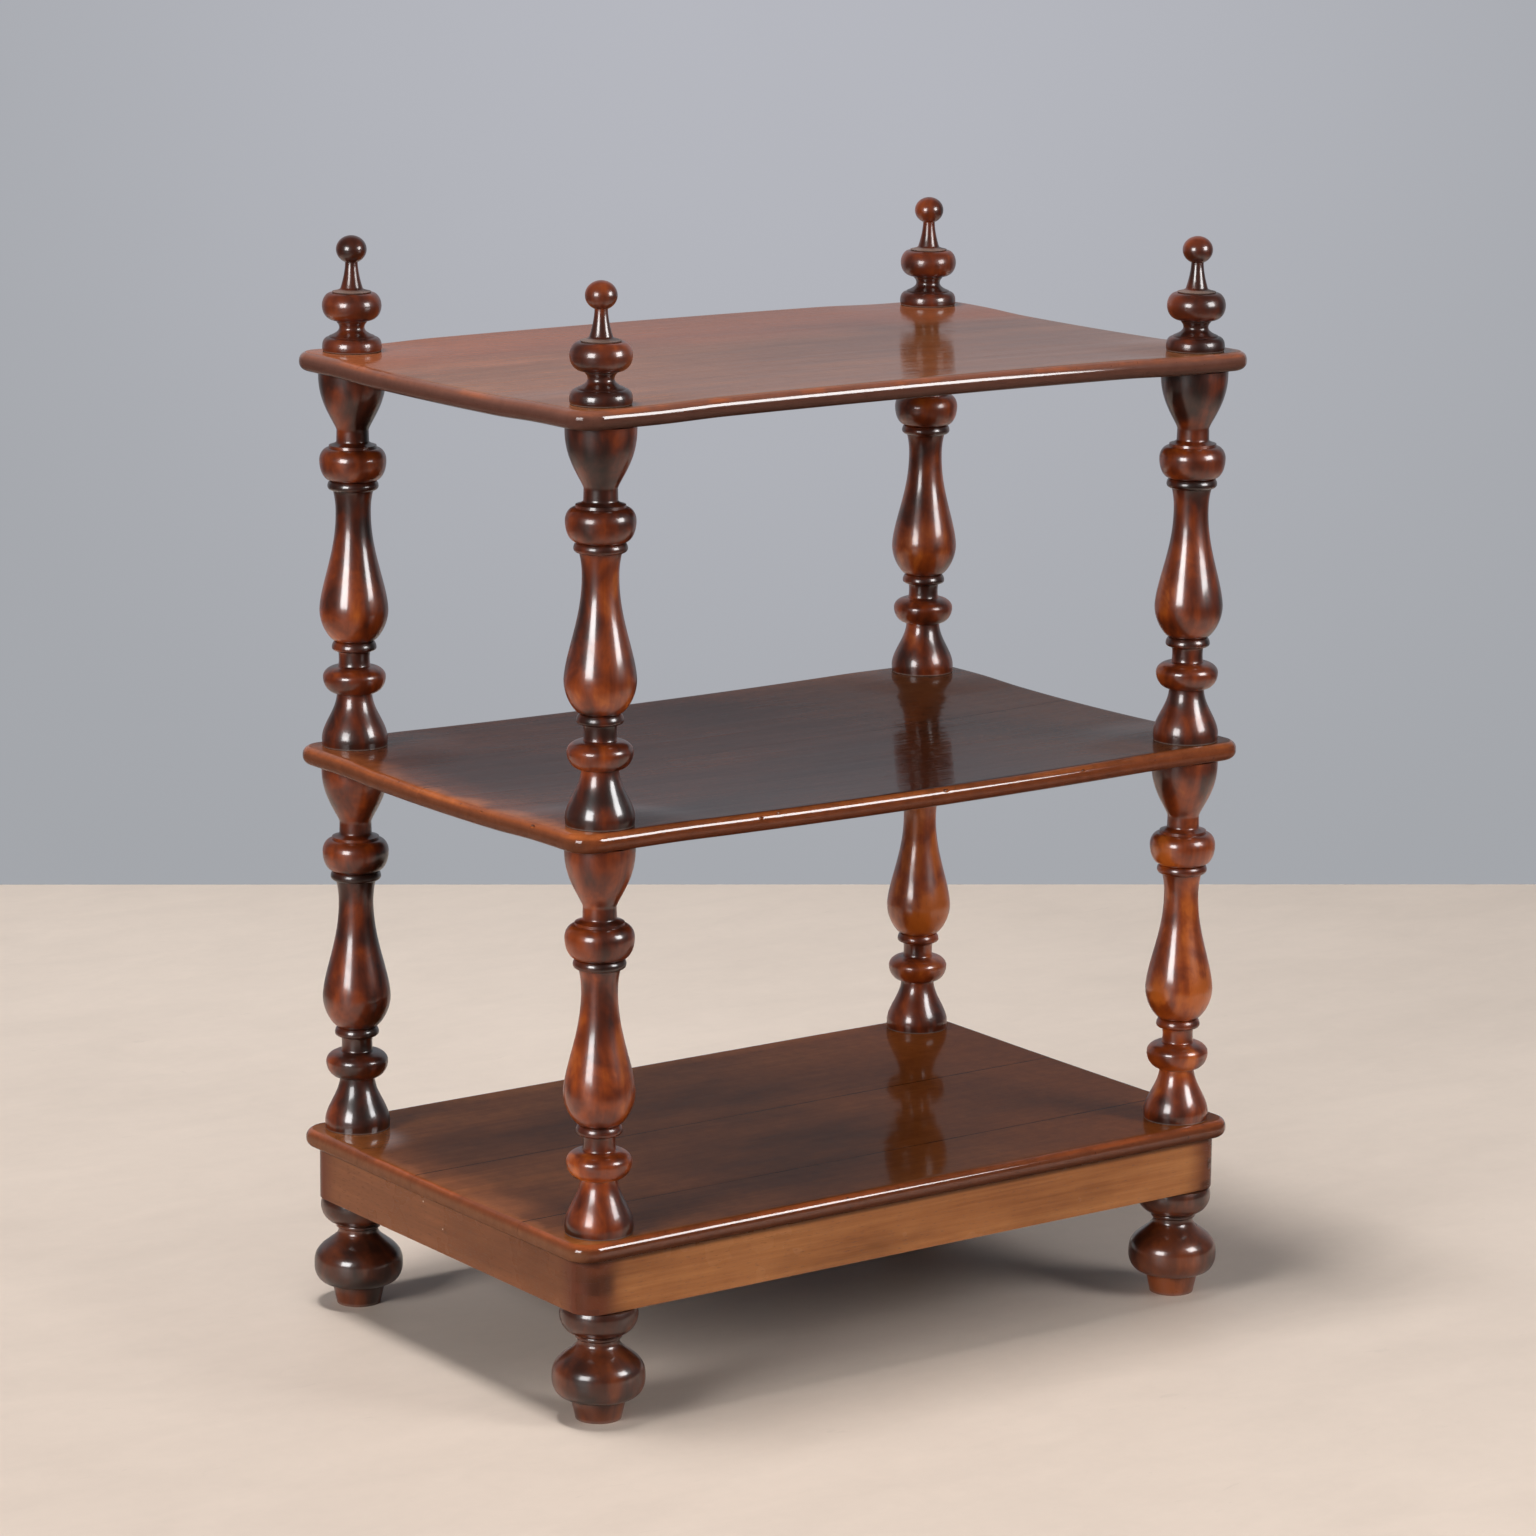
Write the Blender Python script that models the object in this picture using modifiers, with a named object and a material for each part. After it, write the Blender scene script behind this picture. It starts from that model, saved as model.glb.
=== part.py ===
# Three-tier etagere in turned and polished hardwood.
# The frame stands at the middle of the footprint on the floor: +X to the right along
# the long front, -Y towards the viewer and +Z up. All sizes are in metres.

from math import asin, cos, pi, sin

import bmesh
import bpy
from mathutils import Matrix

# Plan, from post axis to post axis
POST_SPACING_LONG = 0.658
POST_SPACING_DEEP = 0.404

# Shelves, with a round nose all the way round
SHELF_THICKNESS = 0.0175
SHELF_END_OVERHANG = 0.045
SHELF_FRONT_OVERHANG = 0.036
SHELF_CORNER_RADIUS = 0.024
SHELF_NOSE_RADIUS = 0.0076

# The middle shelf is glued up from two boards and the bottom shelf from three
MIDDLE_FRONT_BOARD_WIDTH = 0.259
BOTTOM_FRONT_BOARD_WIDTH = 0.098
BOTTOM_BACK_BOARD_WIDTH = 0.201

# Apron under the bottom shelf, with through dovetails at its rounded corners
APRON_HEIGHT = 0.049
APRON_THICKNESS = 0.016
APRON_END_OVERHANG = 0.034
APRON_FRONT_OVERHANG = 0.029
APRON_CORNER_RADIUS = 0.023
TAIL_COUNT = 2
TAIL_END_HEIGHT = 0.0155
TAIL_ROOT_HEIGHT = 0.0115

# Corner blocks inside the apron, which the posts and feet are let into
BLOCK_LENGTH = 0.046
BLOCK_DEPTH = 0.042
BLOCK_CHAMFER = 0.014

# Turned tenons and the sockets that take them
TENON_RADIUS = 0.008
TENON_DEPTH = 0.021
SOCKET_RELIEF = 0.001
FIT_GAP = 0.0003
SEAT_GAP = 0.0003

# Post, from its bell up to its cup
POST_HEIGHT = 0.347
BELL_FOOT_RADIUS = 0.0300
BELL_RADIUS = 0.0304
BELL_SWELL_HEIGHT = 0.0060
BELL_HEIGHT = 0.0490
BELL_NECK_RADIUS = 0.0163
LOWER_RING_RADIUS = 0.0289
LOWER_RING_HEIGHT = 0.0252
COVE_ROOT_RADIUS = 0.0152
COVE_RADIUS = 0.0142
COVE_HEIGHT = 0.0140
LOWER_COLLAR_RADIUS = 0.0206
LOWER_COLLAR_HEIGHT = 0.0094
LOWER_GROOVE_RADIUS = 0.0172
VASE_RADIUS = 0.0316
VASE_SWELL_HEIGHT = 0.0292
THROAT_RADIUS = 0.0161
THROAT_FLARE_RADIUS = 0.0185
THROAT_FLARE_HEIGHT = 0.0203
UPPER_COLLAR_RADIUS = 0.0234
UPPER_COLLAR_HEIGHT = 0.0092
UPPER_GROOVE_RADIUS = 0.0203
UPPER_RING_RADIUS = 0.0306
UPPER_RING_HEIGHT = 0.0300
STEP_RADIUS = 0.0217
STEP_HEIGHT = 0.0024
STEP_SLOPE_HEIGHT = 0.0036
CUP_NECK_RADIUS = 0.0148
CUP_NECK_HEIGHT = 0.0105
CUP_RADIUS = 0.0310
CUP_SWELL_HEIGHT = 0.0500
CUP_RIM_RADIUS = 0.0311
CUP_RIM_HEIGHT = 0.0040

# Finial, from its bun up to its ball
BUN_FOOT_RADIUS = 0.0262
BUN_RADIUS = 0.0271
BUN_TOP_RADIUS = 0.0212
BUN_HEIGHT = 0.0128
FINIAL_STEP_RADIUS = 0.0206
FINIAL_STEP_HEIGHT = 0.0010
FINIAL_WAIST_RADIUS = 0.0115
FINIAL_WAIST_HEIGHT = 0.0077
FINIAL_FLARE_HEIGHT = 0.0050
FINIAL_LIP_RADIUS = 0.0144
FINIAL_LIP_HEIGHT = 0.0012
BULB_RADIUS = 0.0270
BULB_HEIGHT = 0.0253
FINIAL_COLLAR_RADIUS = 0.0180
FINIAL_COLLAR_HEIGHT = 0.0012
STEM_FOOT_RADIUS = 0.0100
STEM_FOOT_HEIGHT = 0.0034
STEM_RADIUS = 0.0057
STEM_HEIGHT = 0.0231
BALL_RADIUS = 0.0139

# Foot, from its pad on the floor up to the bead under the apron
PAD_FLOOR_RADIUS = 0.0205
PAD_RADIUS = 0.0248
PAD_HEIGHT = 0.0195
FOOT_BULB_EDGE_RADIUS = 0.0285
FOOT_BULB_RADIUS = 0.0415
FOOT_BULB_SWELL_HEIGHT = 0.0175
FOOT_SHOULDER_HEIGHT = 0.0340
FOOT_NECK_RADIUS = 0.0187
FOOT_NECK_HEIGHT = 0.0025
FOOT_COLLAR_RADIUS = 0.0210
FOOT_COLLAR_HEIGHT = 0.0050
FOOT_GROOVE_RADIUS = 0.0196
FOOT_BEAD_RADIUS = 0.0350
FOOT_BEAD_SWELL_HEIGHT = 0.0180
FOOT_BEAD_TOP_RADIUS = 0.0335
FOOT_BEAD_CROWN_HEIGHT = 0.0068

# Shapes of the turned curves
VASE_SKEW_SHARE = 0.81
VASE_FULLNESS_SHARE = 0.65
CUP_SKEW_SHARE = 0.62
SHOULDER_SKEW_SHARE = 1.65
LOWER_RING_CROWN_SHARE = 0.60
UPPER_RING_CROWN_SHARE = 0.62
BULB_CROWN_SHARE = 0.545
BUN_CROWN_SHARE = 0.27
COLLAR_CROWN_SHARE = 0.42
BALL_FLATNESS_SHARE = 0.91

# Facets round each turning, and along each kind of curve
POST_SIDES = 12
FINIAL_SIDES = 12
FOOT_SIDES = 14
RING_STEPS = 4
BELL_STEPS = 4
BELLY_STEPS = 3
VASE_STEPS = 5
CUP_STEPS = 4
WAIST_STEPS = 2
STEM_STEPS = 3
BALL_STEPS = 5
FOOT_SWELL_STEPS = 3
FOOT_SHOULDER_STEPS = 5
CORNER_STEPS = 4
NOSE_STEPS = 3

# How far a cutter runs past what it cuts, and how near points have to be to become one
OVERRUN = 0.004
MERGE_DISTANCE = 0.00001

# Levels, from the floor up
FOOT_HEIGHT = (
    PAD_HEIGHT + FOOT_BULB_SWELL_HEIGHT + FOOT_SHOULDER_HEIGHT + FOOT_NECK_HEIGHT
    + FOOT_COLLAR_HEIGHT + FOOT_BEAD_SWELL_HEIGHT + FOOT_BEAD_CROWN_HEIGHT
)
APRON_LEVEL = FOOT_HEIGHT + SEAT_GAP
BOTTOM_SHELF_LEVEL = APRON_LEVEL + APRON_HEIGHT + SEAT_GAP
LOWER_POST_LEVEL = BOTTOM_SHELF_LEVEL + SHELF_THICKNESS + SEAT_GAP
MIDDLE_SHELF_LEVEL = LOWER_POST_LEVEL + POST_HEIGHT + SEAT_GAP
UPPER_POST_LEVEL = MIDDLE_SHELF_LEVEL + SHELF_THICKNESS + SEAT_GAP
TOP_SHELF_LEVEL = UPPER_POST_LEVEL + POST_HEIGHT + SEAT_GAP
FINIAL_LEVEL = TOP_SHELF_LEVEL + SHELF_THICKNESS + SEAT_GAP

# Half sizes in plan
POST_X = POST_SPACING_LONG / 2
POST_Y = POST_SPACING_DEEP / 2
SHELF_X = POST_X + SHELF_END_OVERHANG
SHELF_Y = POST_Y + SHELF_FRONT_OVERHANG
APRON_X = POST_X + APRON_END_OVERHANG
APRON_Y = POST_Y + APRON_FRONT_OVERHANG

# A socket's flats clear the tenon, whatever way round either is faceted
SOCKET_RADIUS = (TENON_RADIUS + FIT_GAP) / cos(pi / POST_SIDES)
SOCKET_DEPTH = TENON_DEPTH + SOCKET_RELIEF
SHELF_TENON_LENGTH = SHELF_THICKNESS + 2 * SEAT_GAP + TENON_DEPTH

CORNERS = {
    "front_left": (-1, -1),
    "front_right": (1, -1),
    "back_left": (-1, 1),
    "back_right": (1, 1),
}


def clear_scene():
    for thing in list(bpy.data.objects):
        bpy.data.objects.remove(thing, do_unlink=True)


def new_collection(name):
    collection = bpy.data.collections.new(name)
    bpy.context.scene.collection.children.link(collection)
    return collection


def new_material(name, colour, roughness):
    material = bpy.data.materials.new(name)
    material.use_nodes = True
    shader = material.node_tree.nodes["Principled BSDF"]
    shader.inputs["Base Color"].default_value = (*colour, 1)
    shader.inputs["Roughness"].default_value = roughness
    shader.inputs["Metallic"].default_value = 0
    return material


def add_object(name, mesh, collection, place=(0, 0, 0)):
    thing = bpy.data.objects.new(name, mesh)
    thing.location = place
    collection.objects.link(thing)
    return thing


def finish(thing, colour, roughness):
    thing.data.materials.append(new_material(thing.name + "_finish", colour, roughness))
    thing.data.shade_smooth()
    thing.data.set_sharp_from_angle(angle=pi / 5)
    return thing


def hide_cutter(thing):
    thing.hide_render = True
    thing.display_type = "WIRE"
    return thing


# Boxes, wedges and round cutters

def box_mesh(name, size):
    mesh = bpy.data.meshes.new(name)
    shape = bmesh.new()
    bmesh.ops.create_cube(shape, size=1, matrix=Matrix.Diagonal((*size, 1)))
    shape.to_mesh(mesh)
    shape.free()
    return mesh


def span_box(name, low, high, collection):
    size = [top - bottom for bottom, top in zip(low, high)]
    middle = [(top + bottom) / 2 for bottom, top in zip(low, high)]
    return add_object(name, box_mesh(name, size), collection, middle)


def round_cutter(name, radius, sides, place, height, cutters):
    mesh = bpy.data.meshes.new(name)
    shape = bmesh.new()
    bmesh.ops.create_cone(
        shape, cap_ends=True, segments=sides, radius1=radius, radius2=radius, depth=height)
    bmesh.ops.rotate(shape, verts=shape.verts, matrix=Matrix.Rotation(pi / 2, 3, "Z"))
    shape.to_mesh(mesh)
    shape.free()
    return hide_cutter(add_object(name, mesh, cutters, place))


def boolean(thing, other, operation):
    modifier = thing.modifiers.new(operation.lower() + "_" + other.name, "BOOLEAN")
    modifier.operation = operation
    modifier.solver = "EXACT"
    modifier.object = other


def round_upright_edges(thing, radius, steps, chosen=lambda x, y: True):
    # only the upright edges carry a weight, so only they are rounded
    shape = bmesh.new()
    shape.from_mesh(thing.data)
    weight = shape.edges.layers.float.new("bevel_weight_edge")
    for edge in shape.edges:
        low, high = (vert.co for vert in edge.verts)
        upright = (low - high).xy.length < abs(low.z - high.z)
        edge[weight] = 1.0 if upright and chosen(low.x, low.y) else 0.0
    shape.to_mesh(thing.data)
    shape.free()
    modifier = thing.modifiers.new("upright_edges", "BEVEL")
    modifier.limit_method = "WEIGHT"
    modifier.width = radius
    modifier.segments = steps


# Turned curves, each a list of (radius, height) points that starts just past its first point

def ogee(low, high, steps, skew=1.0):
    # an S-curve, upright at both ends
    return [
        (
            low[0] + (high[0] - low[0]) * (1 - cos(pi * (k / steps) ** skew)) / 2,
            low[1] + (high[1] - low[1]) * k / steps,
        )
        for k in range(1, steps + 1)
    ]


def swell(low, high, steps, fullness=1.0):
    # rises fast from its low point and stands upright at its high point
    return [
        (
            low[0] + (high[0] - low[0]) * sin(pi / 2 * k / steps) ** fullness,
            low[1] + (high[1] - low[1]) * k / steps,
        )
        for k in range(1, steps + 1)
    ]


def quarter_round(low, high, steps):
    # level at its low point and upright at its high point
    return [
        (
            low[0] + (high[0] - low[0]) * sin(pi / 2 * k / steps),
            low[1] + (high[1] - low[1]) * (1 - cos(pi / 2 * k / steps)),
        )
        for k in range(1, steps + 1)
    ]


def hollow(low, high, steps):
    # falls away fast from its low point and stands upright at its high point
    return [
        (
            high[0] + (low[0] - high[0]) * (1 - k / steps) ** 2,
            low[1] + (high[1] - low[1]) * k / steps,
        )
        for k in range(1, steps + 1)
    ]


def bead(low, high, crown_radius, steps, crown_share=0.5):
    # a half round between two roots, without the roots themselves
    angles = [pi * (k + 0.5) / steps for k in range(steps)]
    fullest = max(sin(angle) for angle in angles)
    points = []
    for angle in angles:
        rise = 1 - cos(angle)
        share = crown_share * rise if rise < 1 else crown_share + (1 - crown_share) * (rise - 1)
        root = low[0] + (high[0] - low[0]) * share
        radius = root + (crown_radius - root) * sin(angle) / fullest
        points.append((radius, low[1] + (high[1] - low[1]) * share))
    return points


def turned(name, points, sides, place, collection):
    # the profile runs down its outer side, and the Screw turns it about the upright axis
    mesh = bpy.data.meshes.new(name)
    shape = bmesh.new()
    verts = [shape.verts.new((radius, 0, height)) for radius, height in reversed(points)]
    for upper, lower in zip(verts, verts[1:]):
        shape.edges.new((upper, lower))
    shape.to_mesh(mesh)
    shape.free()
    thing = add_object(name, mesh, collection, place)
    modifier = thing.modifiers.new("turning", "SCREW")
    modifier.axis = "Z"
    modifier.steps = sides
    modifier.render_steps = sides
    modifier.use_merge_vertices = True
    modifier.merge_threshold = MERGE_DISTANCE
    return thing


def tenon(length):
    return [(0, -length), (TENON_RADIUS, -length), (TENON_RADIUS, 0)]


def socket(level):
    return [(SOCKET_RADIUS, level), (SOCKET_RADIUS, level - SOCKET_DEPTH), (0, level - SOCKET_DEPTH)]


# Post

def bell_points():
    neck = (BELL_NECK_RADIUS, BELL_HEIGHT)
    widest = (BELL_RADIUS, BELL_SWELL_HEIGHT)
    return [(BELL_FOOT_RADIUS, 0), widest] + ogee(widest, neck, BELL_STEPS)


def lower_ring_points():
    low = (BELL_NECK_RADIUS, BELL_HEIGHT)
    high = (COVE_ROOT_RADIUS, BELL_HEIGHT + LOWER_RING_HEIGHT)
    return bead(low, high, LOWER_RING_RADIUS, RING_STEPS, LOWER_RING_CROWN_SHARE) + [high]


def collar_points(root, crown, level, height):
    # a thin collar, whose upper side runs down to the groove that the next turning starts from
    return [(root, level), (crown, level + height * COLLAR_CROWN_SHARE)]


def vase_points(base, top):
    low = (LOWER_GROOVE_RADIUS, base)
    widest = (VASE_RADIUS, base + VASE_SWELL_HEIGHT)
    throat = (THROAT_RADIUS, top - THROAT_FLARE_HEIGHT)
    belly = swell(low, widest, BELLY_STEPS, VASE_FULLNESS_SHARE)
    return [low] + belly + ogee(widest, throat, VASE_STEPS, VASE_SKEW_SHARE)


def upper_ring_points(base):
    low = (UPPER_GROOVE_RADIUS, base)
    high = (STEP_RADIUS, base + UPPER_RING_HEIGHT)
    step = (STEP_RADIUS, high[1] + STEP_HEIGHT)
    ring = bead(low, high, UPPER_RING_RADIUS, RING_STEPS, UPPER_RING_CROWN_SHARE)
    return [low] + ring + [high, step]


def cup_points(base):
    neck_base = (CUP_NECK_RADIUS, base)
    neck = (CUP_NECK_RADIUS, base + CUP_NECK_HEIGHT)
    widest = (CUP_RADIUS, neck[1] + CUP_SWELL_HEIGHT)
    rim = (CUP_RIM_RADIUS, widest[1] + CUP_RIM_HEIGHT)
    return [neck_base, neck] + ogee(neck, widest, CUP_STEPS, CUP_SKEW_SHARE) + [rim]


def post_points():
    # the vase takes up what the other turnings leave of the post's height
    cove_base = BELL_HEIGHT + LOWER_RING_HEIGHT
    collar_base = cove_base + COVE_HEIGHT
    vase_base = collar_base + LOWER_COLLAR_HEIGHT
    cup_base = POST_HEIGHT - CUP_RIM_HEIGHT - CUP_SWELL_HEIGHT - CUP_NECK_HEIGHT
    ring_base = cup_base - STEP_SLOPE_HEIGHT - STEP_HEIGHT - UPPER_RING_HEIGHT
    upper_collar_base = ring_base - UPPER_COLLAR_HEIGHT
    points = tenon(SHELF_TENON_LENGTH)
    points += bell_points() + lower_ring_points()
    points += [(COVE_RADIUS, (cove_base + collar_base) / 2)]
    points += collar_points(COVE_ROOT_RADIUS, LOWER_COLLAR_RADIUS, collar_base, LOWER_COLLAR_HEIGHT)
    points += vase_points(vase_base, upper_collar_base)
    points += collar_points(
        THROAT_FLARE_RADIUS, UPPER_COLLAR_RADIUS, upper_collar_base, UPPER_COLLAR_HEIGHT)
    points += upper_ring_points(ring_base) + cup_points(cup_base)
    return points + socket(POST_HEIGHT)


# Finial

def bun_points():
    low = (BUN_FOOT_RADIUS, 0)
    high = (BUN_TOP_RADIUS, BUN_HEIGHT)
    step_top = BUN_HEIGHT + FINIAL_STEP_HEIGHT
    step = [(FINIAL_STEP_RADIUS, BUN_HEIGHT), (FINIAL_STEP_RADIUS, step_top)]
    return [low] + bead(low, high, BUN_RADIUS, RING_STEPS, BUN_CROWN_SHARE) + [high] + step


def bulb_points(base):
    low = (FINIAL_LIP_RADIUS, base)
    high = (FINIAL_COLLAR_RADIUS, base + BULB_HEIGHT)
    collar = (FINIAL_COLLAR_RADIUS, high[1] + FINIAL_COLLAR_HEIGHT)
    return [low] + bead(low, high, BULB_RADIUS, RING_STEPS, BULB_CROWN_SHARE) + [high, collar]


def ball_points(stem_top):
    # a ball a little flatter than round, which the stem meets where both are equally thin
    half_height = BALL_RADIUS * BALL_FLATNESS_SHARE
    start = asin(STEM_RADIUS / BALL_RADIUS)
    middle = stem_top + half_height * cos(start)
    angles = [start + (pi - start) * k / BALL_STEPS for k in range(1, BALL_STEPS)]
    points = [(BALL_RADIUS * sin(a), middle - half_height * cos(a)) for a in angles]
    return points + [(0, middle + half_height)]


def finial_points():
    waist_base = BUN_HEIGHT + FINIAL_STEP_HEIGHT
    waist = (FINIAL_WAIST_RADIUS, waist_base + FINIAL_WAIST_HEIGHT)
    lip_base = waist[1] + FINIAL_FLARE_HEIGHT
    bulb_base = lip_base + FINIAL_LIP_HEIGHT
    collar_top = bulb_base + BULB_HEIGHT + FINIAL_COLLAR_HEIGHT
    stem_foot = (STEM_FOOT_RADIUS, collar_top + STEM_FOOT_HEIGHT)
    stem_top = stem_foot[1] + STEM_HEIGHT
    points = tenon(SHELF_TENON_LENGTH) + bun_points()
    points += hollow((FINIAL_STEP_RADIUS, waist_base), waist, WAIST_STEPS)
    points += [(FINIAL_LIP_RADIUS, lip_base)]
    points += bulb_points(bulb_base) + [stem_foot]
    points += hollow(stem_foot, (STEM_RADIUS, stem_top), STEM_STEPS)
    return points + ball_points(stem_top)


# Foot

def foot_points():
    pad_top = (FOOT_BULB_EDGE_RADIUS, PAD_HEIGHT)
    widest = (FOOT_BULB_RADIUS, PAD_HEIGHT + FOOT_BULB_SWELL_HEIGHT)
    neck = (FOOT_NECK_RADIUS, widest[1] + FOOT_SHOULDER_HEIGHT)
    collar_base = neck[1] + FOOT_NECK_HEIGHT
    bead_base = (FOOT_GROOVE_RADIUS, collar_base + FOOT_COLLAR_HEIGHT)
    bead_widest = (FOOT_BEAD_RADIUS, bead_base[1] + FOOT_BEAD_SWELL_HEIGHT)
    points = [(0, 0), (PAD_FLOOR_RADIUS, 0), (PAD_RADIUS, PAD_HEIGHT), pad_top]
    points += quarter_round(pad_top, widest, FOOT_SWELL_STEPS)
    points += ogee(widest, neck, FOOT_SHOULDER_STEPS, SHOULDER_SKEW_SHARE)
    points += collar_points(FOOT_NECK_RADIUS, FOOT_COLLAR_RADIUS, collar_base, FOOT_COLLAR_HEIGHT)
    points += [bead_base] + quarter_round(bead_base, bead_widest, FOOT_SWELL_STEPS)
    points += [(FOOT_BEAD_TOP_RADIUS, FOOT_HEIGHT), (TENON_RADIUS, FOOT_HEIGHT)]
    tenon_top = FOOT_HEIGHT + SEAT_GAP + TENON_DEPTH
    return points + [(TENON_RADIUS, tenon_top), (0, tenon_top)]


def add_turnings(parts):
    post_places = {"lower": LOWER_POST_LEVEL, "upper": UPPER_POST_LEVEL}
    for corner, (side, end) in CORNERS.items():
        x, y = side * POST_X, end * POST_Y
        for tier, level in post_places.items():
            post = turned(f"post_{tier}_{corner}", post_points(), POST_SIDES, (x, y, level), parts)
            finish(post, (0.105, 0.028, 0.014), 0.22)
        finial = turned(f"finial_{corner}", finial_points(), FINIAL_SIDES, (x, y, FINIAL_LEVEL), parts)
        finish(finial, (0.070, 0.022, 0.013), 0.22)
        foot = turned(f"foot_{corner}", foot_points(), FOOT_SIDES, (x, y, 0), parts)
        finish(foot, (0.048, 0.017, 0.011), 0.24)


# Shelves

def add_bores(thing, level, name, sides, front, back, cutters):
    # a bore for each tenon that passes through between the two given edges of the board
    for corner, (side, end) in CORNERS.items():
        if front < end * POST_Y < back:
            place = (side * POST_X, end * POST_Y, level + SHELF_THICKNESS / 2)
            height = SHELF_THICKNESS + 2 * OVERRUN
            cutter = round_cutter(f"{name}_bore_{corner}", SOCKET_RADIUS, sides, place, height, cutters)
            boolean(thing, cutter, "DIFFERENCE")


def add_board(name, level, front, back, sides, colour, parts, cutters):
    # the shelf's whole outline, kept between the board's two long edges
    board = span_box(
        name, (-SHELF_X, -SHELF_Y, level), (SHELF_X, SHELF_Y, level + SHELF_THICKNESS), parts)
    round_upright_edges(board, SHELF_CORNER_RADIUS, CORNER_STEPS)
    nose = board.modifiers.new("nose", "BEVEL")
    nose.limit_method = "ANGLE"
    nose.angle_limit = pi / 3
    nose.width = SHELF_NOSE_RADIUS
    nose.segments = NOSE_STEPS
    if front > -SHELF_Y or back < SHELF_Y:
        low = (-SHELF_X - OVERRUN, front, level - OVERRUN)
        high = (SHELF_X + OVERRUN, back, level + SHELF_THICKNESS + OVERRUN)
        boolean(board, hide_cutter(span_box(name + "_strip", low, high, cutters)), "INTERSECT")
    add_bores(board, level, name, sides, front, back, cutters)
    return finish(board, colour, 0.20)


def add_shelf(name, level, board_names, seams, sides, colour, parts, cutters):
    # boards from front to back, with a fine seam between neighbours
    edges = [-SHELF_Y - OVERRUN] + seams + [SHELF_Y + OVERRUN]
    for board_name, front, back in zip(board_names, edges, edges[1:]):
        first = front if front < -SHELF_Y else front + FIT_GAP / 2
        last = back if back > SHELF_Y else back - FIT_GAP / 2
        add_board(name + board_name, level, first, last, sides, colour, parts, cutters)


def add_shelves(parts, cutters):
    middle_seams = [-SHELF_Y + MIDDLE_FRONT_BOARD_WIDTH]
    bottom_seams = [-SHELF_Y + BOTTOM_FRONT_BOARD_WIDTH, SHELF_Y - BOTTOM_BACK_BOARD_WIDTH]
    add_shelf(
        "shelf_top", TOP_SHELF_LEVEL, [""], [], FINIAL_SIDES, (0.160, 0.060, 0.038), parts, cutters)
    add_shelf(
        "shelf_middle_", MIDDLE_SHELF_LEVEL, ["front", "back"], middle_seams, POST_SIDES,
        (0.090, 0.040, 0.026), parts, cutters)
    add_shelf(
        "shelf_bottom_", BOTTOM_SHELF_LEVEL, ["front", "middle", "back"], bottom_seams, POST_SIDES,
        (0.085, 0.033, 0.021), parts, cutters)


# Apron

def add_outline(cutters):
    # the rounded outline that all four rails share
    outline = span_box(
        "apron_outline", (-APRON_X, -APRON_Y, APRON_LEVEL - OVERRUN),
        (APRON_X, APRON_Y, APRON_LEVEL + APRON_HEIGHT + OVERRUN), cutters)
    round_upright_edges(outline, APRON_CORNER_RADIUS, CORNER_STEPS)
    return hide_cutter(outline)


def add_tail(name, side, end, level, play, cutters):
    # a dovetail that widens towards the rail's end, run on past its root line and the outline
    # play widens it into the socket that takes it
    reach = APRON_THICKNESS + 2 * OVERRUN
    depth = APRON_THICKNESS + OVERRUN + play
    spread = (TAIL_END_HEIGHT - TAIL_ROOT_HEIGHT) * OVERRUN / APRON_THICKNESS
    end_height = TAIL_END_HEIGHT + spread + 2 * play
    root_height = TAIL_ROOT_HEIGHT - spread + 2 * play
    mesh = box_mesh(name, (reach, depth, 1))
    for vert in mesh.vertices:
        vert.co.z *= end_height if vert.co.x * side > 0 else root_height
    x = side * (APRON_X + OVERRUN - reach / 2)
    y = end * (APRON_Y + OVERRUN - depth / 2)
    return hide_cutter(add_object(name, mesh, cutters, (x, y, level)))


def tail_levels():
    pitch = APRON_HEIGHT / TAIL_COUNT
    return [APRON_LEVEL + pitch * (k + 0.5) for k in range(TAIL_COUNT)]


def add_long_rail(name, end, outline, parts, cutters):
    # front or back rail, which carries the tails
    length = APRON_X - APRON_THICKNESS - FIT_GAP
    faces = sorted((end * (APRON_Y + OVERRUN), end * (APRON_Y - APRON_THICKNESS)))
    rail = span_box(
        name, (-length, faces[0], APRON_LEVEL), (length, faces[1], APRON_LEVEL + APRON_HEIGHT), parts)
    for side, side_name in ((-1, "left"), (1, "right")):
        for count, level in enumerate(tail_levels()):
            tail = add_tail(f"{name}_tail_{side_name}_{count}", side, end, level, 0, cutters)
            boolean(rail, tail, "UNION")
    boolean(rail, outline, "INTERSECT")
    return finish(rail, (0.230, 0.085, 0.036), 0.30)


def add_short_rail(name, side, outline, parts, cutters):
    # left or right rail, whose pins stand between the tails
    faces = sorted((side * (APRON_X + OVERRUN), side * (APRON_X - APRON_THICKNESS)))
    length = APRON_Y + OVERRUN
    rail = span_box(
        name, (faces[0], -length, APRON_LEVEL), (faces[1], length, APRON_LEVEL + APRON_HEIGHT), parts)
    for end, end_name in ((-1, "front"), (1, "back")):
        for count, level in enumerate(tail_levels()):
            cut = add_tail(f"{name}_socket_{end_name}_{count}", side, end, level, FIT_GAP, cutters)
            boolean(rail, cut, "DIFFERENCE")
    boolean(rail, outline, "INTERSECT")
    return finish(rail, (0.150, 0.060, 0.032), 0.32)


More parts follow.
